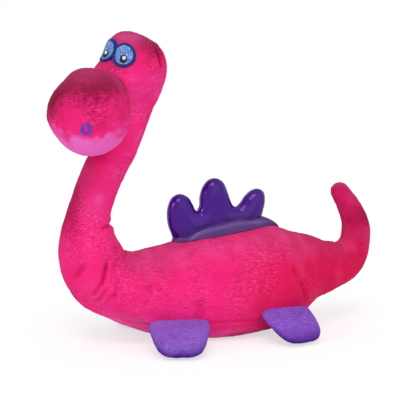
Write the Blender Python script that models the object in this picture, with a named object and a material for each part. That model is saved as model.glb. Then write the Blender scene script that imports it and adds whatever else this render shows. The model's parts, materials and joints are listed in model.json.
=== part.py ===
"""A stuffed long-necked dinosaur, at real size, in metres, with +Z up.

It lies on its belly with the snout towards -X and the tail towards +X. The origin is on the flat
of the belly. Plush covers are sewn in left and right halves over loose filling, a soft moulded
comb of three fins is set into the back, and four padded feet hang on the belly seam.
"""

import math

import bmesh
import bpy
import numpy as np
from mathutils import Matrix, Vector

MM = 0.001

# Cloth and clearances
COVER = 2.5 * MM  # plush cloth with its pile
SEWN_GAP = 0.3 * MM  # between pieces that are sewn or pressed together
FILLING_GAP = 0.8 * MM  # between a cover and the filling under it
SWING_GAP = 0.7 * MM  # between pieces that move on each other
LIP = 1.5 * MM  # how far a sleeve stands proud of the ball that it holds

# Trunk, from the tail joint forward to the chest and up to the neck joint
TRUNK_REAR_X = 126 * MM
TRUNK_LENGTH = 231 * MM
TRUNK_HEIGHT = 98 * MM
TRUNK_WIDTH = 90 * MM
# along the length, lift of the middle, half height and half width, as shares of the sizes above
TRUNK_FORM = (
    (0.000, 0.561, None, None),
    (0.087, 0.546, 0.653, 0.680),
    (0.199, 0.526, 0.914, 0.930),
    (0.331, 0.500, 1.018, 1.000),
    (0.486, 0.459, 1.006, 1.000),
    (0.629, 0.453, 0.931, 0.950),
    (0.753, 0.459, 0.802, 0.840),
    (0.857, 0.510, 0.665, 0.720),
    (0.948, 0.633, 0.608, 0.640),
    (0.991, 0.847, 0.570, 0.590),
    (1.000, 1.041, 0.461, 0.500),
    (0.996, 1.163, None, None),
)
GUSSET_FROM, GUSSET_TO = 0.06, 0.87  # where the belly panel runs, along the trunk
GUSSET_SPREAD = 60  # degrees either side of the belly line

# Neck and head
NECK_BASE_RADIUS = 18.5 * MM
NECK_MIDDLE_RADIUS = 18.3 * MM
NECK_TOP_RADIUS = 21.5 * MM
NECK_LOWER_LENGTH = 59 * MM
NECK_UPPER_LENGTH = 60 * MM
NECK_LEANS = (16, 27.5, 11)  # degrees back from upright at the base, middle and top
HEAD_TURN = 36  # degrees to the animal's left
HEAD_DROOP = 30.6  # degrees that the snout points down
HEAD_OFFSET = (0.7 * MM, -3 * MM, 20 * MM)  # from the nod joint to the middle of the head
HEAD_LENGTH = 71 * MM
HEAD_FRONT = 46 * MM  # of the length, from the middle forward
HEAD_WIDTH = 55 * MM
HEAD_DEPTH = 48 * MM
CROWN_PITCH = 45  # degrees that the crown, a second egg in the head, points up
CROWN_LENGTH = 61 * MM
CROWN_FRONT = 34 * MM
CROWN_DEPTH = 44 * MM
SNOUT_REACH = 73.2 * MM  # from the middle of the head to the middle of the snout
SNOUT_LENGTH = 70 * MM
SNOUT_WIDTH = 68 * MM
SNOUT_DEPTH = 73 * MM

# Tail
TAIL_ROOT_RADIUS = 24 * MM
TAIL_MIDDLE_RADIUS = 13 * MM
TAIL_END_RADIUS = 9 * MM
TAIL_BASE_LENGTH = 56 * MM
TAIL_TIP_LENGTH = 42 * MM
TAIL_RISES = (4, 94, 130)  # degrees up from level at the root, middle and tip

# Feet, each a padded flap on the edge of the belly panel
FOOT_WIDTH = 54 * MM
FRONT_FOOT_LENGTH = 46 * MM
REAR_FOOT_LENGTH = 41 * MM
FOOT_THICKNESS = 15 * MM
FOOT_ROOT_RADIUS = 5.5 * MM
FOOT_NOSE = 13 * MM  # rounded part at the toe
FOOT_TOE_RISE = 5 * MM  # height of the toe's middle above the floor
FOOT_LIFT, FOOT_TUCK = 30, 12  # degrees of swing up and down
FOOT_SEAM_ANGLE = 122  # degrees round the trunk from the back to the seam
FRONT_FOOT_AT, REAR_FOOT_AT = 0.685, 0.262  # along the trunk
FRONT_FOOT_YAW, REAR_FOOT_YAW = 18, -12  # degrees that the toes turn forward

# Moulded comb on the back
COMB_FROM, COMB_TO = 0.225, 0.668  # along the trunk
COMB_HALF_WIDTH = 13.5 * MM
COMB_BASE_RISE = 7 * MM  # above the plush
FIN_THICKNESS = 17 * MM
# place along the trunk, height above the back, length along the back, lean to the rear in degrees
FINS = (
    (0.602, 40 * MM, 37 * MM, -10),
    (0.466, 49 * MM, 38 * MM, -4),
    (0.300, 35 * MM, 33 * MM, 23),
)

# Embroidery
EYE_RADIUS = 10.2 * MM
EYE_BORDER = 1.9 * MM
PUPIL_RADIUS = 3.7 * MM
GLINT_RADIUS = 1.8 * MM
THREAD = 0.6 * MM  # thickness of a layer of stitches
EYE_SPREAD, EYE_LIFT = 27, 45  # degrees from the snout's axis, sideways and up
NOSTRIL_RADIUS = 4.6 * MM
NOSTRIL_STROKE = 2.6 * MM
NOSTRIL_OPENING = 50  # degrees left open at the top
NOSTRIL_SPREAD, NOSTRIL_LIFT = 47.5, 6  # degrees from the snout's axis
NOSTRIL_TURN = -15.5  # degrees that the pair is sewn off the middle, to the animal's right

# Swing of each joint either way, in degrees, which the sockets leave room for
NECK_BOW_SWING = 14
NECK_TWIST_SWING = 8
HEAD_NOD_SWING = 16
TAIL_WAG_SWING = 18
TAIL_CURL_SWING = 16

# Mesh density
ROUND = 12  # points round a limb
TRUNK_RINGS = 30
TRUNK_COLUMNS = 9  # points across a side panel
BALL_BOWS = (-62, -31)  # rings of a rounded start, in degrees
END_BOWS = (30, 58, 80)  # rings of a rounded end
EGG_ROWS = (5, 25, 46, 68, 90, 112, 134, 155, 175)  # degrees from the front of the head or snout
HALF = ROUND // 2

PINK = (0.83, 0.018, 0.155, 1)
PURPLE_PLUSH = (0.20, 0.07, 0.48, 1)
PURPLE_RUBBER = (0.085, 0.02, 0.30, 1)
FILLING = (0.86, 0.86, 0.84, 1)
NAVY = (0.01, 0.015, 0.20, 1)
BLUE = (0.10, 0.27, 0.70, 1)
BLACK = (0.006, 0.006, 0.009, 1)
WHITE = (0.85, 0.85, 0.84, 1)
VIOLET = (0.08, 0.06, 0.62, 1)

UP = np.array((0.0, 0.0, 1.0))
ACROSS = np.array((0.0, 1.0, 0.0))


def unit(vector):
    return np.asarray(vector, float) / np.linalg.norm(vector)


def turned(vector, axis, degrees):
    """The vector after a turn about the axis by the right-hand rule."""
    return np.array(Matrix.Rotation(math.radians(degrees), 3, Vector(axis)) @ Vector(vector))


def curve_through(knots, values, places):
    """Smooth curve through values at the knots, read at the places, with a slope of its own at each knot."""
    knots, values = np.asarray(knots, float), np.asarray(values, float)
    slopes = np.gradient(values, knots, axis=0)
    at = np.clip(np.searchsorted(knots, places, side="right") - 1, 0, len(knots) - 2)
    step = (knots[at + 1] - knots[at])[:, None]
    t = (np.asarray(places) - knots[at])[:, None] / step
    first = (1 + 2 * t) * (1 - t) ** 2 * values[at] + t * (1 - t) ** 2 * step * slopes[at]
    return first + t**2 * (3 - 2 * t) * values[at + 1] + t**2 * (t - 1) * step * slopes[at + 1]


class Limb:
    """Rings of a soft tube. Each ring has a centre, a tangent, the direction of its back, its left,
    a half height, a half width and a bow, the angle of a ring that closes a rounded end."""

    def __init__(self, centres, tangents, heights, widths, twists=None, bows=None, reach=None):
        self.centres = np.asarray(centres, float)
        self.tangents = np.array([unit(t) for t in tangents])
        twists = np.zeros(len(self.centres)) if twists is None else twists
        lefts = [turned(-ACROSS, t, a) for t, a in zip(self.tangents, twists)]
        self.lefts = np.array([unit(left - t * (left @ t)) for left, t in zip(lefts, self.tangents)])
        self.backs = np.cross(self.tangents, self.lefts)
        self.heights = np.asarray(heights, float)
        self.widths = np.asarray(widths, float)
        self.bows = np.radians(np.zeros(len(self.centres)) if bows is None else bows)
        self.reach = reach

    def point(self, ring, angles, inset=0.0, floor=None):
        """Points of a ring at angles in degrees from its back, round by its left, moved inwards."""
        round_by = np.radians(np.atleast_1d(angles))[:, None]
        bow = self.bows[ring]
        reach = (self.heights[ring] + self.widths[ring]) / 2 if self.reach is None else self.reach[ring]
        centre = self.centres[ring] + self.tangents[ring] * (reach - inset) * math.sin(bow)
        across = (self.widths[ring] - inset) * math.cos(bow) * np.sin(round_by) * self.lefts[ring]
        upward = (self.heights[ring] - inset) * math.cos(bow) * np.cos(round_by) * self.backs[ring]
        points = centre + across + upward
        if floor is not None:
            points[:, 2] = np.maximum(points[:, 2], floor + inset)
        return points

    def cut_from(self, start, stop):
        """The same limb with only the rings from start up to stop."""
        part = object.__new__(Limb)
        part.reach = self.reach
        for name in ("centres", "tangents", "lefts", "backs", "heights", "widths", "bows"):
            setattr(part, name, getattr(self, name)[start:stop])
        return part

    def __len__(self):
        return len(self.centres)


def material(name, colour, roughness):
    made = bpy.data.materials.get(name) or bpy.data.materials.new(name)
    made.use_nodes = True
    shader = made.node_tree.nodes["Principled BSDF"]
    shader.inputs["Base Color"].default_value = colour
    shader.inputs["Roughness"].default_value = roughness
    shader.inputs["Metallic"].default_value = 0.0
    return made


def pivot(name, place, parent=None):
    """An empty on a joint's axis, which carries what moves there."""
    empty = bpy.data.objects.new(name, None)
    bpy.context.collection.objects.link(empty)
    empty["place"] = [float(x) for x in place]
    empty.parent = parent
    start = Vector(parent["place"]) if parent else Vector((0, 0, 0))
    empty.location = Vector(place) - start
    return empty


def solid(name, points, faces, finish, carrier):
    """One closed piece from world points, hung on its carrier."""
    mesh = bpy.data.meshes.new(name)
    mesh.from_pydata((np.asarray(points) - np.array(carrier["place"])).tolist(), [], faces)
    work = bmesh.new()
    work.from_mesh(mesh)
    bmesh.ops.recalc_face_normals(work, faces=work.faces)
    work.to_mesh(mesh)
    work.free()
    mesh.shade_smooth()
    mesh.set_sharp_from_angle(angle=math.radians(50))
    mesh.materials.append(finish)
    piece = bpy.data.objects.new(name, mesh)
    bpy.context.collection.objects.link(piece)
    piece.parent = carrier
    return piece


def grid_faces(rows, columns, start=0, wrap=False):
    """Quads between neighbouring rows of a grid of points that starts at a number."""
    last = columns if wrap else columns - 1
    return [
        (start + r * columns + c, start + r * columns + (c + 1) % columns,
         start + (r + 1) * columns + (c + 1) % columns, start + (r + 1) * columns + c)
        for r in range(rows - 1)
        for c in range(last)
    ]  # fmt: skip


def sheet_solid(name, outer, inner, finish, carrier):
    """A closed sheet between two grids of points of the same shape."""
    rows, columns = outer.shape[:2]
    points = np.concatenate([outer.reshape(-1, 3), inner.reshape(-1, 3)])
    half = rows * columns
    faces = grid_faces(rows, columns) + grid_faces(rows, columns, half)
    rim = [r * columns for r in range(rows)]
    rim += [(rows - 1) * columns + c for c in range(1, columns)]
    rim += [r * columns + columns - 1 for r in range(rows - 2, -1, -1)]
    rim += list(range(columns - 2, 0, -1))
    faces += [(a, b, b + half, a + half) for a, b in zip(rim, rim[1:] + rim[:1])]
    return solid(name, points, faces, finish, carrier)


def panel(name, limb, edges, columns, finish, carrier, floor=None):
    """A cloth panel over a limb, between two edges given as angles for each ring."""
    layers = []
    for inset in (0.0, COVER):
        rows = [
            limb.point(ring, np.linspace(low, high, columns), inset, floor)
            for ring, (low, high) in enumerate(edges)
        ]
        layers.append(np.array(rows))
    return sheet_solid(name, layers[0], layers[1], finish, carrier)


def sewn_angle(limb, ring):
    """Half the gap of a seam, as an angle round a ring."""
    across = min(limb.heights[ring], limb.widths[ring]) * max(math.cos(limb.bows[ring]), 0.2)
    return math.degrees(SEWN_GAP / 2 / across)


def halves(stem, limb, finish, carrier, names=("left", "right"), start=0):
    """A limb's two cover panels. start turns the seams, 0 for left and right, 270 for top and sole."""
    gaps = [sewn_angle(limb, ring) for ring in range(len(limb))]
    for offset, name in zip((start, start + 180), names):
        edges = [(offset + gap, offset + 180 - gap) for gap in gaps]
        panel(f"{stem}_{name}", limb, edges, HALF + 1, finish, carrier)


def filling(name, limb, carrier, floor=None, inset=COVER + FILLING_GAP):
    """The loose filling of a limb as one closed body."""
    angles = np.arange(ROUND) * 360 / ROUND
    points = np.concatenate([limb.point(ring, angles, inset, floor) for ring in range(len(limb))])
    faces = grid_faces(len(limb), ROUND, wrap=True)
    faces += [tuple(range(ROUND)), tuple(range(len(points) - ROUND, len(points)))]
    return solid(name, points, faces, STUFFING, carrier)


def helper(name, points, faces):
    """A closed cutter that is no part of the toy."""
    cutter = solid(name, points, faces, STUFFING, ROOT)
    cutter.hide_render = True
    cutter.display_type = "WIRE"
    return cutter


def turned_cutter(name, place, axis, profile, steps=24):
    """A cutter turned about an axis from radius and height pairs, first and last on the axis."""
    axis = unit(axis)
    side = unit(np.cross(axis, ACROSS + 0.3 * UP))
    other = np.cross(axis, side)
    rings = [
        place + axis * height + radius * (math.cos(turn) * side + math.sin(turn) * other)
        for radius, height in profile[1:-1]
        for turn in np.arange(steps) * math.tau / steps
    ]
    points = [place + axis * profile[0][1], *rings, place + axis * profile[-1][1]]
    faces = grid_faces(len(profile) - 2, steps, 1, wrap=True)
    last = len(points) - 1
    faces += [(0, 1 + (c + 1) % steps, 1 + c) for c in range(steps)]
    faces += [(last, last - steps + c, last - steps + (c + 1) % steps) for c in range(steps)]
    return helper(name, points, faces)


def socket_cutter(name, place, axis, radius, swing):
    """The room that a ball with a tube along the axis needs, when the tube swings either way."""
    radius = radius + SWING_GAP
    bottoms = np.linspace(-90, -swing, 6)
    profile = [(radius * math.cos(math.radians(b)), radius * math.sin(math.radians(b))) for b in bottoms]
    profile[0] = (0.0, -radius)
    length = 3 * radius
    flare, rise = math.sin(math.radians(swing)), math.cos(math.radians(swing))
    end = (profile[-1][0] + length * flare, profile[-1][1] + length * rise)
    return turned_cutter(name, place, axis, [*profile, end, (0.0, end[1])])


def cut(piece, cutter):
    modifier = piece.modifiers.new(f"cut_{cutter.name}", "BOOLEAN")
    modifier.operation = "DIFFERENCE"
    modifier.object = cutter
    modifier.solver = "EXACT"


def cut_all(stem, cutter):
    """Cuts each piece whose name starts with the stem."""
    for piece in list(bpy.data.objects):
        if piece.type == "MESH" and piece.name.startswith(stem) and not piece.hide_render:
            cut(piece, cutter)


def bent_limb(start, headings, length, radii, to_vector, rings, ball=True, round_end=False, twist=(0, 0)):
    """A tube whose heading turns evenly from one angle to another, with a ball behind its start."""
    shares = np.linspace(0, 1, rings)
    angles = headings[0] + (headings[1] - headings[0]) * shares
    tangents = np.array([to_vector(a) for a in angles])
    middles = np.array([to_vector(a) for a in (angles[1:] + angles[:-1]) / 2])
    steps = np.concatenate([np.zeros((1, 3)), np.cumsum(middles * length / (rings - 1), axis=0)])
    centres = np.asarray(start) + steps
    sizes = curve_through(np.linspace(0, 1, len(radii)), np.array(radii)[:, None], shares)[:, 0]
    twists = twist[0] + (twist[1] - twist[0]) * shares
    bows = np.zeros(rings)
    before = BALL_BOWS if ball else ()
    after = END_BOWS if round_end else ()
    index = [0] * len(before) + list(range(rings)) + [rings - 1] * len(after)
    bows = np.concatenate([before, bows, after])
    return Limb(centres[index], tangents[index], sizes[index], sizes[index], twists[index], bows), centres[-1]


def start_scene():
    for old in list(bpy.data.objects):
        bpy.data.objects.remove(old, do_unlink=True)


def trunk_limb():
    """The trunk's rings, denser than its stations."""
    shares = np.array([row[0] for row in TRUNK_FORM])
    lifts = np.array([row[1] for row in TRUNK_FORM])
    centres = np.stack(
        [TRUNK_REAR_X - shares * TRUNK_LENGTH, np.zeros(len(shares)), lifts * TRUNK_HEIGHT], axis=1
    )
    ends = (TAIL_ROOT_RADIUS + LIP, NECK_BASE_RADIUS + LIP)
    heights = [ends[0], *(row[2] * TRUNK_HEIGHT / 2 for row in TRUNK_FORM[1:-1]), ends[1]]
    widths = [ends[0], *(row[3] * TRUNK_WIDTH / 2 for row in TRUNK_FORM[1:-1]), ends[1]]
    knots = np.concatenate([[0], np.cumsum(np.linalg.norm(np.diff(centres, axis=0), axis=1))])
    table = np.column_stack([centres, heights, widths])
    places = np.linspace(0, knots[-1], TRUNK_RINGS)
    smooth = curve_through(knots, table, places)
    nudge = 0.5 * MM
    ahead = curve_through(knots, table[:, :3], np.minimum(places + nudge, knots[-1]))
    behind = curve_through(knots, table[:, :3], np.maximum(places - nudge, 0))
    limb = Limb(smooth[:, :3], ahead - behind, smooth[:, 3], smooth[:, 4])
    limb.along = np.interp(places, knots, shares)
    return limb


def trunk_point(limb, along, angle):
    """A point on the trunk at a share of its length, between the rings to either side."""
    after = int(np.argmax(limb.along >= along))
    share = (along - limb.along[after - 1]) / (limb.along[after] - limb.along[after - 1])
    return (1 - share) * limb.point(after - 1, angle)[0] + share * limb.point(after, angle)[0]


def make_trunk():
    """Side panels, belly panel, filling and comb. The two ends are sleeves for the neck and tail."""
    limb = trunk_limb()
    rings = range(len(limb))
    in_gusset = [GUSSET_FROM <= a <= GUSSET_TO and r < np.argmax(limb.along) for r, a in enumerate(limb.along)]
    in_comb = [COMB_FROM <= a <= COMB_TO and r < np.argmax(limb.along) for r, a in enumerate(limb.along)]
    gaps = [sewn_angle(limb, ring) for ring in rings]
    spread = gusset_edges(limb, in_gusset)
    comb = comb_edges(limb, in_comb)
    lows = [max(comb[r], 0) + gaps[r] for r in rings]
    highs = [180 - spread[r] - (2 * gaps[r] if spread[r] else gaps[r]) for r in rings]
    left = list(zip(lows, highs))
    right = [(360 - high, 360 - low) for low, high in left]
    panel("trunk_side_left", limb, left, TRUNK_COLUMNS, PLUSH, ROOT, floor=0.0)
    panel("trunk_side_right", limb, right, TRUNK_COLUMNS, PLUSH, ROOT, floor=0.0)
    first, last = in_gusset.index(True), len(rings) - in_gusset[::-1].index(True)
    belly = limb.cut_from(first, last)
    belly_edges = [(180 - spread[r] + 2 * gaps[r], 180 + spread[r] - 2 * gaps[r]) for r in range(first, last)]
    panel("belly_gusset", belly, belly_edges, 9, PLUSH, ROOT, floor=0.0)
    filling("trunk_stuffing", limb, ROOT, floor=0.0, inset=COVER + 1.8 * FILLING_GAP)
    make_comb(limb, comb)
    return limb


def gusset_edges(limb, inside):
    """Half spread of the belly panel at each ring, tapering to its two points."""
    places = np.array([i for i, held in enumerate(inside) if held])
    spread = np.zeros(len(limb))
    shares = np.linspace(0.01, 0.99, len(places))
    spread[places] = GUSSET_SPREAD * np.sin(shares * math.pi) ** 0.7
    return spread


def comb_edges(limb, inside):
    """Half spread of the comb's base at each ring, as an angle, rounded off at both ends."""
    places = np.array([i for i, held in enumerate(inside) if held])
    spread = np.zeros(len(limb))
    shares = np.linspace(0.01, 0.99, len(places))
    half = COMB_HALF_WIDTH * np.sin(shares * math.pi) ** 0.5
    spread[places] = np.degrees(np.arcsin(half / limb.widths[places]))
    return spread


def make_comb(limb, spread):
    """The moulded comb: a saddle in the slot of the back, with three fins joined to it."""
    places = np.nonzero(spread)[0]
    columns = 7
    outer, inner = [], []
    for ring in places:
        angles = np.linspace(-1, 1, columns) * (spread[ring] - 2 * sewn_angle(limb, ring))
        crown = COMB_BASE_RISE * np.sqrt(np.clip(1 - (np.linspace(-0.93, 0.93, columns)) ** 2, 0, 1))
        inner.append(limb.point(ring, angles, COVER - SEWN_GAP))
        top = limb.point(ring, angles)
        outer.append(top + crown[:, None] * limb.backs[ring])
    base = sheet_solid("comb", np.array(outer), np.array(inner), RUBBER, ROOT)
    for number, (along, height, length, lean) in enumerate(FINS, 1):
        join = base.modifiers.new(f"join_fin_{number}", "BOOLEAN")
        join.operation = "UNION"
        join.object = fin(limb, number, along, height, length, lean)
        join.solver = "EXACT"


def fin(limb, number, along, height, length, lean):
    """One fin as a flattened egg, rooted in the comb's base and leaning to the rear."""
    foot = trunk_point(limb, along, 0) + UP * COMB_BASE_RISE * 0.3
    axis = turned(UP, ACROSS, lean)
    along_back = unit(trunk_point(limb, along - 0.03, 0) - trunk_point(limb, along + 0.03, 0))
    rise = height - COMB_BASE_RISE * 0.3
    turns = np.linspace(0, math.tau, 16, endpoint=False)
    rows = []
    levels = np.radians((0, 25, 48, 66, 80))
    for level in levels:
        swell = math.cos(level) * (1.0 - 0.12 * (1 - math.sin(level)))
        ring_points = [
            foot + axis * rise * math.sin(level)
            + along_back * length / 2 * swell * math.cos(turn)
            + ACROSS * FIN_THICKNESS / 2 * math.cos(level) ** 0.6 * math.sin(turn)
            for turn in turns
        ]  # fmt: skip
        rows.append(ring_points)
    points = np.concatenate([np.array(rows).reshape(-1, 3), [foot + axis * rise]])
    faces = grid_faces(len(levels), len(turns), wrap=True) + [tuple(range(len(turns)))]
    top = len(points) - 1
    start = top - len(turns)
    faces += [(start + c, start + (c + 1) % len(turns), top) for c in range(len(turns))]
    return helper(f"fin_{number}", points, faces)


def lean_back(degrees):
    """Heading of the neck, leaning back from upright."""
    return np.array((math.sin(math.radians(degrees)), 0, math.cos(math.radians(degrees))))


def rise_up(degrees):
    """Heading of the tail, rising from level."""
    return np.array((math.cos(math.radians(degrees)), 0, math.sin(math.radians(degrees))))


def make_neck(base):
    """Two lengths of neck. Each starts as a ball, and the upper one ends as a ball in the head."""
    bow = pivot("neck_bow_pivot", base, ROOT)
    radii = (NECK_BASE_RADIUS, (NECK_BASE_RADIUS + NECK_MIDDLE_RADIUS) / 2, NECK_MIDDLE_RADIUS + LIP)
    lower, middle = bent_limb(
        base, NECK_LEANS[:2], NECK_LOWER_LENGTH, radii, lean_back, 6, twist=(-HEAD_TURN / 3, -HEAD_TURN)
    )
    halves("neck_lower", lower, PLUSH, bow)
    filling("neck_lower_stuffing", lower, bow)
    cut_all("trunk", socket_cutter("neck_bow_room", base, lean_back(NECK_LEANS[0]), NECK_BASE_RADIUS, NECK_BOW_SWING))

    twist = pivot("neck_twist_pivot", middle, bow)
    radii = (NECK_MIDDLE_RADIUS, (NECK_MIDDLE_RADIUS + NECK_TOP_RADIUS) / 2 - 1 * MM, NECK_TOP_RADIUS)
    upper, top = bent_limb(
        middle, NECK_LEANS[1:], NECK_UPPER_LENGTH, radii, lean_back, 6,
        round_end=True, twist=(-HEAD_TURN, -HEAD_TURN),
    )  # fmt: skip
    halves("neck_upper", upper, PLUSH, twist)
    filling("neck_upper_stuffing", upper, twist)
    heading = lean_back(NECK_LEANS[1])
    cut_all("neck_lower", socket_cutter("neck_twist_room", middle, heading, NECK_MIDDLE_RADIUS, NECK_TWIST_SWING))
    return pivot("head_nod_pivot", top, twist), top


def make_tail(root):
    """Two lengths of tail, each starting as a ball, the second with a round end."""
    wag = pivot("tail_wag_pivot", root, ROOT)
    radii = (TAIL_ROOT_RADIUS, (TAIL_ROOT_RADIUS + TAIL_MIDDLE_RADIUS) / 2 - 1 * MM, TAIL_MIDDLE_RADIUS + LIP)
    base, middle = bent_limb(root, TAIL_RISES[:2], TAIL_BASE_LENGTH, radii, rise_up, 8)
    halves("tail_base", base, PLUSH, wag)
    filling("tail_base_stuffing", base, wag)
    cut_all("trunk", socket_cutter("tail_wag_room", root, rise_up(TAIL_RISES[0]), TAIL_ROOT_RADIUS, TAIL_WAG_SWING))

    curl = pivot("tail_curl_pivot", middle, wag)
    radii = (TAIL_MIDDLE_RADIUS, (TAIL_MIDDLE_RADIUS + TAIL_END_RADIUS) / 2, TAIL_END_RADIUS)
    tip, _ = bent_limb(
        middle, TAIL_RISES[1:], TAIL_TIP_LENGTH - TAIL_END_RADIUS, radii, rise_up, 5, round_end=True
    )
    halves("tail_tip", tip, PLUSH, curl)
    filling("tail_tip_stuffing", tip, curl)
    room = socket_cutter("tail_curl_room", middle, rise_up(TAIL_RISES[1]), TAIL_MIDDLE_RADIUS, TAIL_CURL_SWING)
    cut_all("tail_base", room)


class Egg:
    """A rounded form with its long axis along a heading, read by side and lift angles.

    Its front and back may differ in length, and a crown, a second egg on the same middle, may swell it.
    """

    def __init__(self, centre, forward, left, length, width, depth, front=None, crown=None):
        self.centre, self.forward, self.left = np.asarray(centre), forward, left
        self.up = np.cross(forward, left)
        self.size = np.array((length, width, depth)) / 2
        self.front = length / 2 if front is None else front
        self.back = length - self.front
        self.crown = crown

    def direction(self, side, lift):
        side, lift = math.radians(side), math.radians(lift)
        return (
            math.cos(lift) * math.cos(side) * self.forward
            + math.cos(lift) * math.sin(side) * self.left
            + math.sin(lift) * self.up
        )

    def surface(self, direction, inset=0.0):
        """Where a ray from the middle leaves the form."""
        return self.centre + direction * self.reach(direction, inset)

    def reach(self, direction, inset):
        """How far the form reaches from its middle: an ellipsoid's radius, rounded into its crown's."""
        parts = np.array((direction @ self.forward, direction @ self.left, direction @ self.up))
        size = np.array((self.front if parts[0] > 0 else self.back, *self.size[1:])) - inset
        own = 1 / np.linalg.norm(parts / size)
        if self.crown is None:
            return own
        return (own**8 + self.crown.reach(direction, inset) ** 8) ** (1 / 8)

    def half(self, inset, sign):
        """Grid of points over the left or right half, split by a seam gap."""
        edge = math.degrees(SEWN_GAP / 2 / self.size.min())
        grid = []
        for roll in np.linspace(edge, 180 - edge, HALF + 1):
            tilt = math.radians(roll)
            sidewards = sign * math.sin(tilt) * self.left + math.cos(tilt) * self.up
            row = [
                self.surface(math.cos(a) * self.forward + math.sin(a) * sidewards, inset)
                for a in np.radians(EGG_ROWS)
            ]
            grid.append(row)
        return np.array(grid)

    def filled(self, name, inset, carrier):
        """The form as one closed body."""
        grid = [self.surface(self.forward, inset)]
        for a in np.radians(EGG_ROWS):
            for roll in np.arange(ROUND) * math.tau / ROUND:
                sidewards = math.sin(roll) * self.left + math.cos(roll) * self.up
                grid.append(self.surface(math.cos(a) * self.forward + math.sin(a) * sidewards, inset))
        grid.append(self.surface(-self.forward, inset))
        last = len(grid) - 1
        faces = grid_faces(len(EGG_ROWS), ROUND, 1, wrap=True)
        faces += [(0, 1 + (c + 1) % ROUND, 1 + c) for c in range(ROUND)]
        faces += [(last, last - ROUND + c, last - ROUND + (c + 1) % ROUND) for c in range(ROUND)]
        if carrier is None:
            return helper(name, grid, faces)
        return solid(name, grid, faces, STUFFING, carrier)

    def patch(self, name, middle, reach, hole, lifts, finish, carrier, sweep=(0, 360), steps=16):
        """Stitches on the form: a disc or ring round a direction, between two heights above it."""
        side = unit(np.cross(self.up, middle))
        above = np.cross(middle, side)
        closed = sweep[1] - sweep[0] >= 360
        turns = np.radians(np.linspace(*sweep, steps, endpoint=not closed))
        rims = (reach, reach * 0.5, 0.0) if hole <= 0 else (reach, hole)
        place = self.surface(middle)
        layers = []
        for lift in lifts:
            layer = []
            for rim in rims:
                for turn in turns:
                    spot = place + rim * (math.cos(turn) * above + math.sin(turn) * side)
                    layer.append(self.surface(unit(spot - self.centre), -lift))
                    if rim == 0.0:
                        break
            layers.append(layer)
        return stitched(name, layers, len(rims), len(turns), hole <= 0, closed, finish, carrier)


def stitched(name, layers, rims, steps, disc, closed, finish, carrier):
    """Joins the two layers of a patch into one closed body."""
    count = len(layers[0])
    points = np.concatenate(layers)
    faces = []
    rows = rims - 1 if disc else rims
    for base in (0, count):
        faces += grid_faces(rows, steps, base, wrap=closed)
        if disc:
            start = base + (rows - 1) * steps
            faces += [(start + c, start + (c + 1) % steps, base + count - 1) for c in range(steps)]
    walls = [0] if disc else [0, (rims - 1) * steps]
    for start in walls:
        last = steps if closed else steps - 1
        for c in range(last):
            a, b = start + c, start + (c + 1) % steps
            faces.append((a, b, b + count, a + count))
    if not closed:
        for c in (0, steps - 1):
            faces.append((c, c + steps, c + steps + count, c + count))
    return solid(name, points, faces, finish, carrier)


def make_head(nod, joint):
    """Head, snout and embroidery. The head sits on the ball at the top of the neck."""
    flat = turned(np.array((-1.0, 0, 0)), UP, HEAD_TURN)
    left = np.cross(UP, flat)
    forward = turned(flat, left, HEAD_DROOP)
    centre = joint + np.array(HEAD_OFFSET)
    crown = Egg(centre, turned(flat, left, -CROWN_PITCH), left, CROWN_LENGTH, HEAD_WIDTH, CROWN_DEPTH, CROWN_FRONT)
    head = Egg(centre, forward, left, HEAD_LENGTH, HEAD_WIDTH, HEAD_DEPTH, HEAD_FRONT, crown)
    room = socket_cutter("head_nod_room", joint, -lean_back(NECK_LEANS[2]), NECK_TOP_RADIUS, HEAD_NOD_SWING)
    for sign, name in ((1, "left"), (-1, "right")):
        sheet_solid(f"head_{name}", head.half(0, sign), head.half(COVER, sign), PLUSH, nod)
    head.filled("head_stuffing", COVER + 2 * FILLING_GAP, nod)
    cut_all("head_", room)

    snout = Egg(centre + forward * SNOUT_REACH, forward, left, SNOUT_LENGTH, SNOUT_WIDTH, SNOUT_DEPTH)
    for sign, name in ((1, "left"), (-1, "right")):
        sheet_solid(f"snout_{name}", snout.half(0, sign), snout.half(COVER, sign), PLUSH, nod)
    snout.filled("snout_stuffing", COVER + FILLING_GAP, nod)
    cut_all("snout", head.filled("head_room", -FILLING_GAP, None))
    make_face(head, snout, nod)
    return left


def make_face(head, snout, nod):
    """Two embroidered eyes on the head and two nostrils on the snout."""
    low = SEWN_GAP
    for sign, name in ((1, "left"), (-1, "right")):
        look = head.direction(sign * EYE_SPREAD, EYE_LIFT)
        first, second, third = (low + n * (THREAD + SEWN_GAP) for n in range(3))
        border = EYE_RADIUS - EYE_BORDER
        head.patch(f"eye_{name}_border", look, EYE_RADIUS, border, (first, first + THREAD), NAVY_THREAD, nod)
        head.patch(f"eye_{name}_iris", look, border - SEWN_GAP, 0, (first, first + THREAD), BLUE_THREAD, nod)
        gaze = unit(look + 0.12 * head.forward)
        head.patch(f"eye_{name}_pupil", gaze, PUPIL_RADIUS, 0, (second, second + THREAD), BLACK_THREAD, nod, steps=12)
        head.patch(f"eye_{name}_glint", gaze, GLINT_RADIUS, 0, (third, third + THREAD), WHITE_THREAD, nod, steps=8)
        spot = snout.direction(sign * NOSTRIL_SPREAD + NOSTRIL_TURN, NOSTRIL_LIFT)
        snout.patch(
            f"nostril_{name}", spot, NOSTRIL_RADIUS, NOSTRIL_RADIUS - NOSTRIL_STROKE, (first, first + THREAD),
            VIOLET_THREAD, nod, sweep=(NOSTRIL_OPENING / 2, 360 - NOSTRIL_OPENING / 2), steps=14,
        )  # fmt: skip


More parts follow.
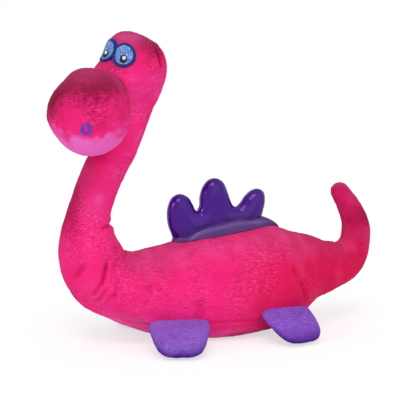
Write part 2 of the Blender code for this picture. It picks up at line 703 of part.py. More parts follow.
def make_foot(name, limb, along, side, yaw, length):
    """One padded foot: top, sole and filling, hinged on the belly seam, with room cut in the trunk."""
    seam = trunk_point(limb, along, FOOT_SEAM_ANGLE if side > 0 else 360 - FOOT_SEAM_ANGLE)
    out = turned(np.array((0, -side, 0.0)), UP, -side * yaw)
    down = math.asin(min(0.95, (seam[2] - FOOT_TOE_RISE) / length))
    heading = out * math.cos(down) - UP * math.sin(down)
    hinge = unit(np.cross(UP, out))
    top = np.cross(heading, hinge)
    joint = seam + heading * FOOT_ROOT_RADIUS * 0.4
    carrier = pivot(f"{name}_pivot", joint, ROOT)
    straight = length - FOOT_NOSE
    shares = np.linspace(0, 1, 4)
    heights = FOOT_ROOT_RADIUS + (FOOT_THICKNESS / 2 - FOOT_ROOT_RADIUS) * np.sin(shares * math.pi / 2)
    widths = FOOT_WIDTH / 2 * (1 - 0.12 * shares**2)
    index = [0] * len(BALL_BOWS) + [0, 1, 2, 3] + [3] * len(END_BOWS)
    centres = (joint + heading * (straight * shares)[:, None])[index]
    bows = [*BALL_BOWS, 0, 0, 0, 0, *END_BOWS]
    pad = Limb(centres, [heading] * len(index), heights[index], widths[index], bows=bows)
    pad.lefts = np.repeat([hinge], len(index), axis=0)
    pad.backs = np.repeat([top], len(index), axis=0)
    pad.reach = np.array([FOOT_ROOT_RADIUS] * (len(BALL_BOWS) + 4) + [FOOT_NOSE] * len(END_BOWS))
    halves(name, pad, FOOT_PLUSH, carrier, ("top", "sole"), start=270)
    filling(f"{name}_stuffing", pad, carrier)
    room = foot_room(f"{name}_room", joint, heading, top, hinge, 1.5 * length)
    cut_all("trunk", room)
    cut_all("belly", room)


def foot_room(name, joint, heading, top, hinge, reach):
    """The room that a foot needs in the trunk as it lifts and tucks, drawn out along its hinge."""
    round_by = np.linspace(90 + FOOT_LIFT, 270 - FOOT_TUCK, 10)
    radius = FOOT_ROOT_RADIUS + SWING_GAP
    profile = [(radius * math.cos(math.radians(a)), radius * math.sin(math.radians(a))) for a in round_by]
    for angle, start in ((-FOOT_TUCK, profile[-1]), (FOOT_LIFT, profile[0])):
        spread = math.radians(angle + math.copysign(6, angle))
        profile.append((start[0] + reach * math.cos(spread), start[1] + reach * math.sin(spread)))
    half = FOOT_WIDTH / 2 + SWING_GAP
    points = [joint + a * heading + b * top + end * half * hinge for end in (-1, 1) for a, b in profile]
    count = len(profile)
    faces = grid_faces(2, count, wrap=True) + [tuple(range(count)), tuple(range(count, 2 * count))]
    return helper(name, points, faces)


def start_materials():
    return (
        material("pink_plush", PINK, 0.85),
        material("purple_plush", PURPLE_PLUSH, 0.85),
        material("purple_rubber", PURPLE_RUBBER, 0.12),
        material("white_filling", FILLING, 0.95),
        material("navy_thread", NAVY, 0.45),
        material("blue_thread", BLUE, 0.45),
        material("black_thread", BLACK, 0.45),
        material("white_thread", WHITE, 0.45),
        material("violet_thread", VIOLET, 0.45),
    )


start_scene()
(
    PLUSH, FOOT_PLUSH, RUBBER, STUFFING, NAVY_THREAD, BLUE_THREAD, BLACK_THREAD, WHITE_THREAD, VIOLET_THREAD,
) = start_materials()  # fmt: skip
ROOT = pivot("trunk_origin", (0, 0, 0))
body = make_trunk()
nod_pivot, nod_point = make_neck(body.centres[-1])
make_tail(body.centres[0])
make_head(nod_pivot, nod_point)
for side_name, side_sign in (("left", 1), ("right", -1)):
    make_foot(f"foot_front_{side_name}", body, FRONT_FOOT_AT, side_sign, FRONT_FOOT_YAW, FRONT_FOOT_LENGTH)
    make_foot(f"foot_rear_{side_name}", body, REAR_FOOT_AT, side_sign, REAR_FOOT_YAW, REAR_FOOT_LENGTH)
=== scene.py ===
import itertools
import json
import math

import bpy
import numpy as np
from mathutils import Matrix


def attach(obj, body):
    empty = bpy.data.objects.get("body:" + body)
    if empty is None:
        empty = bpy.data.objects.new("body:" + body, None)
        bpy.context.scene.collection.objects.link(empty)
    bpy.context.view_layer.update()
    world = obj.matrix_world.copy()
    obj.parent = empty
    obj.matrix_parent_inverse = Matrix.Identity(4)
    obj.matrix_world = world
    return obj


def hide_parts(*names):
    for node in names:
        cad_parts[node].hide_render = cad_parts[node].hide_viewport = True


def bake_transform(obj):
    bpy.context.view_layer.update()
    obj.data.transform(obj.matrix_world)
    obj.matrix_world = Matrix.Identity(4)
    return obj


# A stuffed long-necked dinosaur: pink plush body, purple plush feet, moulded purple comb, stitched face.
# Shapes are worked out in millimetres, nose towards -X, the toy's left towards -Y, belly on z = 0.

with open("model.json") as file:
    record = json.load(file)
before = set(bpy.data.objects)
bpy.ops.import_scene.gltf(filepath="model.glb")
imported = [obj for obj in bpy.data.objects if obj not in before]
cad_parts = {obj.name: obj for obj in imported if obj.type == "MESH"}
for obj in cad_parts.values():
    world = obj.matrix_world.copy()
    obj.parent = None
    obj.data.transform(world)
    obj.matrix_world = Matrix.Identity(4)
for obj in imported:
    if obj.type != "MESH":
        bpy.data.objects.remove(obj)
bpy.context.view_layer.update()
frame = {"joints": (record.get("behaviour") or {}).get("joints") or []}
mm = 0.001
jointAt = {joint["name"]: np.array(joint["pos_m"]) / mm for joint in frame["joints"]}
jointAxis = {joint["name"]: np.array(joint["axis"]) for joint in frame["joints"]}
upward = np.array((0.0, 0.0, 1.0))
tiny = 1e-9  # keeps a division by nothing from failing


# each vector over its own length
def unit(vectors):
    return vectors / np.linalg.norm(vectors, axis=-1, keepdims=True)


# smooth step: 0 before low, 1 after high, a cubic between
def ease(value, low, high):
    t = np.clip((value - low) / (high - low), 0, 1)
    return t * t * (3 - 2 * t)


# a bump of height 1 at zero distance, falling off as a bell of the given width
def bell(distance, width):
    return np.exp(-((distance / width) ** 2))


# smallest of two distances, rounded over a stretch k where they come near each other
def softMin(a, b, k):
    share = np.maximum(k - np.abs(a - b), 0) / k
    return np.minimum(a, b) - share * share * k / 4


scatter = (73856093, 19349663, 83492791, 374761393)  # large odd factors for x, y, z and the seed
churn = ((13, 1274126177), (15, 668265263))  # shift and factor of each round of mixing


# value noise from -1 to 1: hashed corners of a cubic lattice, blended by a smooth cubic each way
def softNoise(points, scale, seed):
    scaled = points / scale
    cell = np.floor(scaled).astype(np.int64)
    t = scaled - cell
    t = t * t * (3 - 2 * t)
    total = np.zeros(points.shape[:-1])
    for corner in itertools.product((0, 1), repeat=3):
        c = cell + np.array(corner)
        x, y, z = (c[..., axis] * scatter[axis] for axis in range(3))
        mixed = x ^ y ^ z ^ (seed * scatter[3])
        for shift, factor in churn:
            mixed = ((mixed ^ (mixed >> shift)) * factor) & 0xFFFFFFFF
        weight = np.prod(np.where(np.array(corner) == 1, t, 1 - t), axis=-1)
        total += ((mixed >> 8) & 0xFFFF) / 32767.5 * weight
    return total - 1


# running length at each corner of a line
def lengthsAlong(corners):
    return np.concatenate([[0], np.cumsum(np.linalg.norm(np.diff(corners, axis=0), axis=1))])


# cubic curve through stations, with slopes from the stations each side
def curveThrough(knots, values, places):
    slopes = np.gradient(values, knots, axis=0)
    left = np.clip(np.searchsorted(knots, places, side="right") - 1, 0, len(knots) - 2)
    width = knots[left + 1] - knots[left]
    t = (places - knots[left]) / width
    t, width = t[:, None], width[:, None]
    return (
        (2 * t**3 - 3 * t**2 + 1) * values[left]
        + (t**3 - 2 * t**2 + t) * width * slopes[left]
        + (3 * t**2 - 2 * t**3) * values[left + 1]
        + (t**3 - t**2) * width * slopes[left + 1]
    )


# outward normals of a grid whose columns close on themselves: one step along crossed with one step round
def gridNormals(points, middles):
    along = np.gradient(points, axis=0)
    around = np.roll(points, -1, axis=1) - np.roll(points, 1, axis=1)
    normals = np.cross(along, around)
    normals /= np.maximum(np.linalg.norm(normals, axis=-1, keepdims=True), tiny)
    return normals * np.sign(np.sum(normals * (points - middles), axis=-1, keepdims=True))


# a closed skin from a grid of rings: quads between rings and a fan to a point at each end, turned over where
# its volume comes out negative; a fan to the middle of its own ring is shaded flat
def ringMesh(name, points, ends, finish, marks=None, normals=None):
    rows, columns = points.shape[:2]
    row, column = np.meshgrid(np.arange(rows - 1), np.arange(columns), indexing="ij")
    nextColumn = (column + 1) % columns
    corners = ((row, column), (row, nextColumn), (row + 1, nextColumn), (row + 1, column))
    quads = np.stack([down * columns + along for down, along in corners], axis=-1).reshape(-1, 4)
    ring = np.arange(columns)
    first, last = rows * columns, rows * columns + 1
    startFan = np.stack([np.full(columns, first), (ring + 1) % columns, ring], axis=-1)
    endRing = (rows - 1) * columns
    endFan = np.stack([np.full(columns, last), endRing + ring, endRing + (ring + 1) % columns], axis=-1)
    fans = np.concatenate([startFan, endFan])
    caps = [points[end].mean(axis=0) if place is None else place for end, place in zip((0, -1), ends)]
    places = np.concatenate([points.reshape(-1, 3), np.array(caps)])
    solid = np.concatenate([fans, quads[:, :3], quads[:, [0, 2, 3]]])
    a, b, c = places[solid[:, 0]], places[solid[:, 1]], places[solid[:, 2]]
    if np.einsum("ij,ij->", a, np.cross(b, c)) < 0:
        quads, fans = quads[:, ::-1], fans[:, ::-1]
    mesh = bpy.data.meshes.new(name)
    mesh.from_pydata(places * mm, [], quads.tolist() + fans.tolist())
    mesh.shade_smooth()
    flatFan = np.zeros(len(mesh.polygons), bool)
    flatFan[len(quads) : len(quads) + columns] = ends[0] is None
    flatFan[len(quads) + columns :] = ends[1] is None
    mesh.attributes.new("sharp_face", "BOOLEAN", "FACE").data.foreach_set("value", flatFan)
    for markName, values in (marks or {}).items():
        values = np.concatenate([values.ravel(), [values[0].mean(), values[-1].mean()]])
        mesh.attributes.new(markName, "FLOAT", "POINT").data.foreach_set("value", values.astype(np.float32))
    if normals is not None:
        tips = [unit(places[first] - points[1].mean(axis=0)), unit(places[last] - points[-2].mean(axis=0))]
        mesh.normals_split_custom_set_from_vertices(np.concatenate([normals.reshape(-1, 3), tips]))
    piece = bpy.data.objects.new(name, mesh)
    bpy.context.scene.collection.objects.link(piece)
    mesh.materials.append(finish)
    return piece


# a socket of a node tree, so that shader maths is written as Python expressions
class Value:
    def __init__(self, finish, socket):
        self.finish, self.socket = finish, socket

    def maths(self, operation, first, second):
        return self.finish.node("ShaderNodeMath", {"operation": operation}, {0: first, 1: second})

    def __add__(self, other):
        return self.maths("ADD", self, other)

    def __sub__(self, other):
        return self.maths("SUBTRACT", self, other)

    def __rsub__(self, other):
        return self.maths("SUBTRACT", other, self)

    def __mul__(self, other):
        return self.maths("MULTIPLY", self, other)

    __radd__, __rmul__ = __add__, __mul__


# a node tree: any node comes from one method, with its settings first and then what its sockets take
class Nodes:
    def __init__(self, tree):
        self.tree = tree

    def node(self, kind, settings=None, inputs=None, output=0):
        made = self.tree.nodes.new(kind)
        for key, value in (settings or {}).items():
            if key == "stops":
                elements = made.color_ramp.elements
                for number, (place, colour) in enumerate(value):
                    stop = elements[number] if number < 2 else elements.new(place)
                    stop.position, stop.color = place, colour
            else:
                setattr(made, key, value)
        for key, value in (inputs or {}).items():
            self.feed(made.inputs[key], value)
        return Value(self, made.outputs[output])

    def feed(self, socket, value):
        if isinstance(value, Value):
            self.tree.links.new(value.socket, socket)
        else:
            socket.default_value = value

    # 1 for a ray that comes from the camera, a mirror or glass, so that these see the plain background
    def seen(self):
        rays = (f"Is {kind} Ray" for kind in ("Camera", "Glossy", "Transmission"))
        camera, glossy, through = (self.node("ShaderNodeLightPath", output=ray) for ray in rays)
        return camera + glossy + through


# a material: constants sit on the shader's own sockets, and surface feeds it what changes over the piece
class Finish(Nodes):
    def __init__(self, name, **constants):
        self.material = bpy.data.materials.new(name)
        self.material.use_nodes = True
        super().__init__(self.material.node_tree)
        self.shader = self.tree.nodes["Principled BSDF"]
        for socket, value in constants.items():
            self.shader.inputs[socket.replace("_", " ")].default_value = value

    def surface(self, **values):
        for socket, value in values.items():
            self.feed(self.shader.inputs[socket.replace("_", " ")], value)
        return self.material

    # the piece's own coordinates, stretched and then turned
    def place(self, stretch=(1, 1, 1), turn=(0, 0, 0)):
        where = self.node("ShaderNodeTexCoord", output="Object")
        return self.node("ShaderNodeMapping", inputs={"Vector": where, "Rotation": turn, "Scale": stretch})

    def noise(self, where, scale, detail=2.0, roughness=0.5):
        inputs = {"Vector": where, "Scale": scale, "Detail": detail, "Roughness": roughness}
        return self.node("ShaderNodeTexNoise", {}, inputs)

    # 0 below low, 1 above high, straight between
    def spread(self, value, low, high):
        return self.node("ShaderNodeMapRange", {}, {"Value": value, "From Min": low, "From Max": high})

    def mark(self, name):
        return self.node("ShaderNodeAttribute", {"attribute_name": name}, output="Fac")

    def ramp(self, factor, *stops):
        return self.node("ShaderNodeValToRGB", {"stops": stops}, {"Fac": factor})

    def mix(self, factor, first, second):
        return self.node("ShaderNodeMix", {"data_type": "RGBA"}, {0: factor, 6: first, 7: second}, 2)

    def bump(self, height, strength, distance):
        return self.node("ShaderNodeBump", {}, {"Height": height, "Strength": strength, "Distance": distance})


# a screen colour, 0 to 255 each, as linear light
def tint(red, green, blue):
    share = np.array((red, green, blue)) / 255
    linear = np.where(share <= 0.04045, share / 12.92, ((share + 0.055) / 1.055) ** 2.4)
    return (*linear.tolist(), 1.0)


pileForm = dict(
    stretch=(0.42, 1, 1.1), turn=(0.2, 0.55, 0.3),  # the way that the pile is combed
    tuft=480, fibre=1400, parting=720, tip=640,  # scale of each noise
    stops=(0.5, 0.68),  # level of the nap and painted light mark at which the middle and the clear colour lie
    # the pale share is how far the painted sheen flecks on ruffled fibre tips go towards the tip colour
    partingDark=0.13, sheenFleckPale=0.8, hairHeight=0.0009,
)


# short pile: colour follows the mark of nap with painted light and shade, broken by combed tufts and fibres,
# with dark partings where it is ruffled and a painted sheen of pale fibre tips there; turned warmer by the
# warm mark, and a painted sheen over what faces up laid on by the sheen mark
def plushFinish(name, deep, middle, clear, bright, warm, paintedSheenColour, tip):
    form = pileForm
    plush = Finish(name, Sheen_Weight=0.28, Sheen_Roughness=0.35, Sheen_Tint=tip, Specular_IOR_Level=0.1)
    combed = plush.place(form["stretch"], form["turn"])
    tufts = plush.noise(combed, form["tuft"], 4, 0.6)
    fibres = plush.noise(combed, form["fibre"], 2, 0.6)
    ruffled, napAndPaintedLight = plush.mark("rough"), plush.mark("napAndPaintedLight")
    partings = ruffled * (1 - plush.spread(plush.noise(combed, form["parting"], 3, 0.6), 0.3, 0.52))
    tufted = napAndPaintedLight + (tufts - 0.5) * (0.12 + ruffled * 0.55)
    brushed = tufted + (fibres - 0.5) * (0.14 + ruffled * 0.3) - partings * form["partingDark"]
    middleAt, clearAt = form["stops"]
    pile = plush.ramp(brushed, (0.0, deep), (1.0, bright), (middleAt, middle), (clearAt, clear))
    # painted sheen: pale flecks on the tips of ruffled fibres, more where the nap mark is bright
    tips = ruffled * napAndPaintedLight * plush.spread(plush.noise(combed, form["tip"], 3, 0.6), 0.5, 0.66)
    toned = plush.mix(plush.mark("warm"), pile, warm)
    colour = plush.mix(tips * form["sheenFleckPale"], plush.mix(plush.mark("paintedSheenAndPatches"), toned, paintedSheenColour), tip)
    coarse = 0.84 + (tufts - 0.5) * 0.25
    height = tufts * (0.4 + ruffled * 0.4) + fibres * 0.3 - partings * 0.4
    hairs = plush.bump(height, 0.5, form["hairHeight"])
    return plush.surface(Base_Color=colour, Roughness=coarse, Normal=hairs)


# moulded soft vinyl: one deep colour with faint clouding, another painted along a band mark, glossy, and dull
# where it is handled; the band is painted shade at the fins' foot and a painted highlight on the saddle's
# shoulders
def vinylFinish(name, deep, pale, paintedShadeOrHighlight, gloss):
    vinyl = Finish(name, Specular_IOR_Level=0.24)
    where = vinyl.place()
    cloud = vinyl.noise(where, 70, 3)
    rub = vinyl.noise(where, 190, 2)
    colour = vinyl.mix(vinyl.mark("paintedShadeOrHighlight"), vinyl.mix(cloud, deep, pale), paintedShadeOrHighlight)
    dull = gloss + (rub - 0.4) * 0.14
    ripple = vinyl.bump(vinyl.noise(where, 60, 1) + rub * 0.1, 0.07, 0.001)
    return vinyl.surface(Base_Color=colour, Roughness=dull, Normal=ripple)


# satin stitching: dark to light by the piece's own ridge mark, painted shade in the grooves between threads
# and painted light on their ridges, mottled where threads cross
def threadFinish(name, dark, light, mottle=0.7):
    thread = Finish(name, Specular_IOR_Level=0.25, Sheen_Weight=0.5, Sheen_Roughness=0.3)
    where = thread.place()
    flecks = thread.noise(where, 620, 3, 0.6)
    fuzz = thread.noise(where, 1500, 2)
    # painted shade and light: lighter on the threads' ridges, darker between them
    colour = thread.mix(thread.mark("ridgeShade") * 0.45 + 0.25 + (flecks - 0.5) * mottle, dark, light)
    coarse = 0.4 + fuzz * 0.3
    return thread.surface(Base_Color=colour, Roughness=coarse, Normal=thread.bump(fuzz, 0.3, 0.0003))


# the colour called tip is both the shader's sheen tint and the painted sheen on fibre tips; the one before it
# is the painted sheen over what faces up
plushPink = plushFinish(
    "plushPink", deep=tint(134, 4, 48), middle=tint(246, 36, 122), clear=tint(253, 46, 138),
    bright=tint(255, 118, 214), warm=tint(226, 18, 76), paintedSheenColour=tint(222, 82, 146), tip=tint(255, 100, 175),
)
plushPurple = plushFinish(
    "plushPurple", deep=tint(52, 14, 114), middle=tint(126, 70, 192), clear=tint(146, 88, 208),
    bright=tint(196, 148, 246), warm=tint(92, 40, 160), paintedSheenColour=tint(150, 112, 204), tip=tint(176, 132, 230),
)
# the third colour of each is painted: shade at the fins' foot, a highlight on the saddle's shoulders
vinylFins = vinylFinish("vinylFins", tint(58, 0, 124), tint(76, 2, 142), tint(26, 0, 66), 0.12)
vinylSaddle = vinylFinish("vinylSaddle", tint(62, 22, 98), tint(84, 44, 122), tint(104, 78, 142), 0.24)
threadNavy = threadFinish("threadNavy", tint(10, 12, 78), tint(26, 40, 150))
threadBlue = threadFinish("threadBlue", tint(26, 58, 160), tint(148, 198, 248), 2.8)
threadBlack = threadFinish("threadBlack", tint(6, 6, 12), tint(26, 26, 40))
threadWhite = threadFinish("threadWhite", tint(206, 200, 214), tint(252, 250, 252))
threadViolet = threadFinish("threadViolet", tint(48, 34, 168), tint(100, 88, 236))
print("finishes made")


bodyForm = dict(
    # side-view place (x, z) and half height, half width at each station, from the tail's tip to the head
    tail=[
        (141.6, 126.4, 9.0, 9.0), (150.6, 113.4, 10.5, 10.5), (159.0, 94.4, 12.9, 12.9),
        (157.4, 75.1, 14.8, 14.8), (148.0, 61.6, 18.6, 19.0), (128.0, 56.4, 24.0, 24.4),
    ],
    trunk=[
        (105.9, 56.0, 33.0, 31.0), (80.0, 52.4, 46.0, 42.2), (49.5, 49.0, 49.7, 45.0),
        (13.7, 45.0, 49.3, 45.0), (-19.3, 44.4, 45.6, 42.8), (-47.9, 46.2, 38.6, 37.9),
        (-72.0, 50.9, 32.2, 32.6), (-93.0, 62.0, 29.9, 29.0), (-102.9, 83.0, 27.9, 26.6),
        (-105.0, 102.0, 22.8, 22.6),
    ],
    neck=[
        (-103.9, 115.0, 19.6, 19.4), (-96.8, 137.5, 18.2, 18.2), (-87.0, 159.5, 18.3, 18.3),
        (-77.3, 179.0, 18.8, 18.8), (-69.6, 199.0, 19.7, 19.7), (-63.2, 221.0, 21.4, 21.4),
    ],
    samples=900,
    headTurn=36.0, turnSpan=(-10, 72),  # degrees to the toy's left, and where on the neck it comes in
    floorRound=3.0, floorReach=18.0,  # how softly the belly flattens, and how far up that is felt
)


# the run as fine samples: centres and half sizes from a cubic through the stations, with the twist easing in
# up the neck
def bodyRun(form):
    stations = np.array(form["tail"] + form["trunk"] + form["neck"])
    knots = lengthsAlong(stations[:, :2])
    places = np.linspace(0, knots[-1], form["samples"])
    x, z, high, wide = curveThrough(knots, stations, places).T
    centres = np.stack([x, np.zeros(len(places)), z], axis=-1)
    tangents = unit(np.gradient(centres, places, axis=0))
    neckStart = knots[len(form["tail"]) + len(form["trunk"]) - 1]
    twist = np.radians(-form["headTurn"]) * ease(places - neckStart, *form["turnSpan"])
    return dict(places=places, centres=centres, tangents=tangents, high=high, wide=wide, twist=twist)


run = bodyRun(bodyForm)


# a value of the run at any place, straight between samples
def alongRun(key, s):
    values = run[key]
    if values.ndim == 1:
        return np.interp(s, run["places"], values)
    return np.stack([np.interp(s, run["places"], values[:, axis]) for axis in range(3)], axis=-1)


# sideways and backwards directions at a place on the run: left turned by the twist about the tangent
def runSides(s):
    tangent = unit(alongRun("tangents", s))
    twist = alongRun("twist", s)[..., None]
    left = np.zeros_like(tangent)
    left[..., 1] = -1
    back = np.cross(tangent, left)
    return left * np.cos(twist) + back * np.sin(twist), back * np.cos(twist) - left * np.sin(twist)


# nearest place on the run to a side-view point
def placeNear(x, z):
    gap = (run["centres"][:, 0] - x) ** 2 + (run["centres"][:, 2] - z) ** 2
    return float(run["places"][np.argmin(gap)])


# bare skin point: centre + wide sin v left + high cos v back, pressed softly on to the floor
def bodyPoint(s, v):
    left, back = runSides(s)
    wide, high = alongRun("wide", s)[..., None], alongRun("high", s)[..., None]
    points = alongRun("centres", s) + wide * np.sin(v)[..., None] * left + high * np.cos(v)[..., None] * back
    soft = bodyForm["floorRound"]
    lifted = points[..., 2] + np.sqrt(points[..., 2] ** 2 + soft * soft)
    points[..., 2] = np.where(points[..., 2] < bodyForm["floorReach"], lifted / 2, points[..., 2])
    return points


plushForm = dict(
    lumps=((30, 0.9), (13, 0.4)),  # wave length and height of the filling's unevenness
    pile=((3.6, 0.20), (1.8, 0.16)),  # and of the tufts
    seamWidth=1.5, seamDepth=1.0,
    lowest=0.05,  # how near the skin comes to the floor
)

creaseForm = dict(
    sideSpan=(2, 12),  # distance from the middle over which a crease of one side comes in
    fadeIn=(-0.25, 0.2), fadeOut=(0.75, 1.25),  # shares of its length over which it comes and goes
    swell=0.35, swellAt=2.6, swellWidth=1.2,  # height over its depth, place and width over its width
)
creases = [  # side-view start and end, width, depth, and the side it is on: -1 left, 1 right, 0 both
    dict(start=(75, 66), stop=(84, 47), width=2.6, depth=2.0, side=-1),  # in front of the thigh
    dict(start=(84, 47), stop=(89, 30), width=2.4, depth=2.0, side=-1),
    dict(start=(80, 60), stop=(88, 30), width=2.6, depth=1.4, side=1),
    dict(start=(133, 76), stop=(148, 66), width=1.7, depth=1.7, side=0),  # tail root
    dict(start=(-95, 79), stop=(-100, 61), width=1.7, depth=2.5, side=-1),  # chest folds
    dict(start=(-100, 61), stop=(-107, 50), width=1.7, depth=2.1, side=-1),
    dict(start=(-96, 57), stop=(-103, 44), width=1.7, depth=1.9, side=-1),
    dict(start=(-114, 78), stop=(-122, 64), width=2.6, depth=1.5, side=-1),
    dict(start=(-86, 64), stop=(-90, 47), width=2.2, depth=1.2, side=-1),
    dict(start=(-96, 80), stop=(-106, 52), width=2.2, depth=1.3, side=1),
    dict(start=(-80, 110), stop=(-97, 107), width=1.8, depth=1.7, side=0),  # foot of the neck
    dict(start=(-38, 86), stop=(-18, 89), width=1.8, depth=1.3, side=-1),  # under the comb's front
    dict(start=(-38, 86), stop=(-18, 89), width=1.8, depth=1.0, side=1),
    dict(start=(-59, 59), stop=(-63, 39), width=4.6, depth=0.8, side=-1),  # soft folds down the flanks
    dict(start=(-15, 46), stop=(-16, 24), width=5.2, depth=1.0, side=-1),
    dict(start=(18, 64), stop=(20, 44), width=5.0, depth=0.6, side=-1),
    dict(start=(41, 53), stop=(45, 26), width=4.8, depth=0.7, side=-1),
    dict(start=(-50, 56), stop=(-54, 34), width=4.2, depth=1.1, side=1),
    dict(start=(10, 58), stop=(12, 30), width=4.6, depth=1.2, side=1),
    dict(start=(46, 56), stop=(50, 28), width=4.2, depth=1.0, side=1),
    dict(start=(-50, 264), stop=(-45, 243), width=1.5, depth=2.8, side=-1),  # dart at the back of the head
]


# a crease is a bell-shaped dip along a side-view line with a low swell each side of it, fading at its ends
def creaseDip(points):
    form = creaseForm
    flat = points[..., [0, 2]]
    total = np.zeros(flat.shape[:-1])
    for crease in creases:
        start, stop = np.array(crease["start"], float), np.array(crease["stop"], float)
        line, width = stop - start, crease["width"]
        share = np.sum((flat - start) * line, axis=-1) / np.sum(line * line)
        gap = np.linalg.norm(flat - start - np.clip(share, 0, 1)[..., None] * line, axis=-1)
        side = ease(points[..., 1] * crease["side"], *form["sideSpan"]) if crease["side"] else 1.0
        fade = ease(share, *form["fadeIn"]) * (1 - ease(share, *form["fadeOut"]))
        swell = form["swell"] * bell(gap - form["swellAt"] * width, width * form["swellWidth"])
        total += crease["depth"] * fade * side * (swell - bell(gap, width))
    return total


# filling and pile heights: waves of noise, each with its length and height
def plushHeight(points, seed=0):
    waves = enumerate(plushForm["lumps"] + plushForm["pile"])
    return sum(height * softNoise(points, length, seed + number) for number, (length, height) in waves)


# the body's tone: bright up the neck, darker to the tail, low on the chest, on the shoulder and down the
# throat; darker where it faces up, most of all on the head, and brighter under the belly, partly for the
# pile's nap and partly as painted shade on top and painted light underneath; the shoulder's dip is partly
# painted shade in the corner before the neck
def bodyTone(points, normals):
    x, z, facing, ahead = points[..., 0], points[..., 2], normals[..., 2], -normals[..., 0]
    neck, tail = ease(z, 90, 140) * (1 - ease(z, 228, 254)), ease(x, 0, 160)
    chest = ease(-x, 70, 110) * (1 - ease(z, 40, 75))
    shoulder = bell(x + 48, 34) * ease(facing, 0.1, 0.8)
    throat = ease(ahead, 0.0, 0.85) * ease(-x, 20, 60) * ease(z, 80, 125) * (1 - ease(z, 215, 240))
    head, crown = ease(z, 232, 250), ease(z, 226, 258)
    # painted light under the belly, and with the facing term below, painted shade on what faces up
    belly = ease(-facing, 0.3, 0.9) * (1 - ease(z, 30, 60))
    level = 0.57 - 0.4 * tail + 0.11 * neck - 0.1 * chest - 0.14 * shoulder - 0.38 * throat - 0.08 * head
    return level - (0.13 + 0.34 * crown) * facing + 0.2 * belly


# the snout's tone by which way it faces: ruffled dark on top and on the right cheek, bright below, with an
# uneven edge between; the dark top is partly the pile's nap and partly painted shade, the bright underside is
# painted light from below
def snoutTone(points, normals):
    uneven = 0.16 * softNoise(points, 13, 21) + 0.14 * softNoise(points, 5, 22)
    facing, right = normals[..., 2] + uneven, -(normals @ headLeft)
    # the bright underside is painted light, the dark top partly painted shade
    top, paintedChinLight = ease(facing, 0.0, 0.65), ease(-facing, 0.0, 0.85)
    cheek = ease(right, -0.2, 0.6) * (1 - ease(-facing, 0.1, 0.5))
    return 0.44 - 0.36 * top - 0.24 * cheek + 0.62 * paintedChinLight


# the feet's tone: brighter high up near the seam, darker the lower it lies, down at the toes
def footTone(points, normals):
    return 0.2 + 0.38 * ease(points[..., 2], 3, 21) + 0.03 * normals[..., 2]


# brushing marks, in turn: the tone with streaks and brushed patches, and painted shade where creases, seams
# and the snout's fold sink the skin; a painted sheen, paler over what faces up, with pale patches at random;
# a redder rump and flank, on the body alone; the patches that lie ruffled
def brushMarks(points, normals, dips, tone, seed):
    facing, x, z = normals[..., 2], points[..., 0], points[..., 2]
    streaks = softNoise(points * np.array((0.5, 1.0, 1.2)), 6, seed + 11)
    broad, ruffle = softNoise(points, 26, seed + 12), softNoise(points, 17, seed + 13)
    narrow = softNoise(points * np.array((1.3, 1.0, 0.8)), 12, seed + 14)
    patches = 0.65 * broad + 0.5 * narrow
    # painted sheen on what faces up
    upwardSheen = ease(facing, 0.25, 0.95) * (0.24 + 0.06 * ease(z, 215, 245) + 0.2 * bell(x + 72, 22))
    rump = ease(x, -10, 70) * (1 - ease(z, 50, 115)) * (1 + 0.5 * patches)
    flank = (1 - ease(z, 45, 78)) * ease(x, -100, -80) * ease(patches, 0.05, 0.35)
    return {
        # painted shade: the last term darkens the nap where creases, seams and the snout's fold sink the skin
        "napAndPaintedLight": tone(points, normals) + 0.05 * streaks + 0.11 * patches + 0.13 * np.minimum(dips, 0),
        "paintedSheenAndPatches": upwardSheen * (1 + 0.4 * patches) + 0.16 * ease(patches, 0.05, 0.6),
        "warm": (0.72 * rump + 0.4 * flank) * (tone is bodyTone),
        "rough": ease(ruffle + 0.5 * facing, -0.6, 0.6) * (1 - 0.55 * ease(x, 85, 140)),
    }


# the belly panel: its ends on the run, its half angle in degrees, the power of the sine that it opens by, and
# the angle in radians under which it counts as shut
gusset = dict(rear=placeNear(112, 54), front=placeNear(-97, 70), spread=60, fullness=0.7, shut=0.02)


# sewn lines of the body: down the back, under the neck, and along both edges of the belly panel, each a bell
# of the distance round to it
def bodySeams(s, v):
    wide = alongRun("wide", s)
    middle = bell(wide * np.sin(v), plushForm["seamWidth"])
    back, under = middle * (np.cos(v) > 0), middle * (np.cos(v) < 0)
    share = np.clip((s - gusset["rear"]) / (gusset["front"] - gusset["rear"]), 0, 1)
    spread = np.radians(gusset["spread"]) * np.sin(np.pi * share) ** gusset["fullness"]
    edge = bell(wide * (np.abs(v - np.pi) - spread), plushForm["seamWidth"])
    return np.maximum(np.maximum(back, under * (spread < gusset["shut"])), edge * (spread > gusset["shut"]))


# the grid pushed out along its normals by lumps, pile, creases and seams, then closed and marked; spare rows
# past an end only give its last ring the same normals as the skin that goes on there
def dressed(
    name, points, middles, seams, ends=(None, None), finish=plushPink, tone=bodyTone, seed=0, spare=(0, 0)
):
    normals = gridNormals(points, middles)
    dips = creaseDip(points) - plushForm["seamDepth"] * seams
    points = points + (plushHeight(points, seed) + dips)[..., None] * normals
    points[..., 2] = np.maximum(points[..., 2], plushForm["lowest"])
    kept = slice(spare[0], len(points) - spare[1])
    shading = gridNormals(points, middles)[kept] if any(spare) else None
    marks = {key: values[kept] for key, values in brushMarks(points, normals, dips, tone, seed).items()}
    piece = ringMesh(name, points[kept], ends, finish, marks, shading)
    return piece


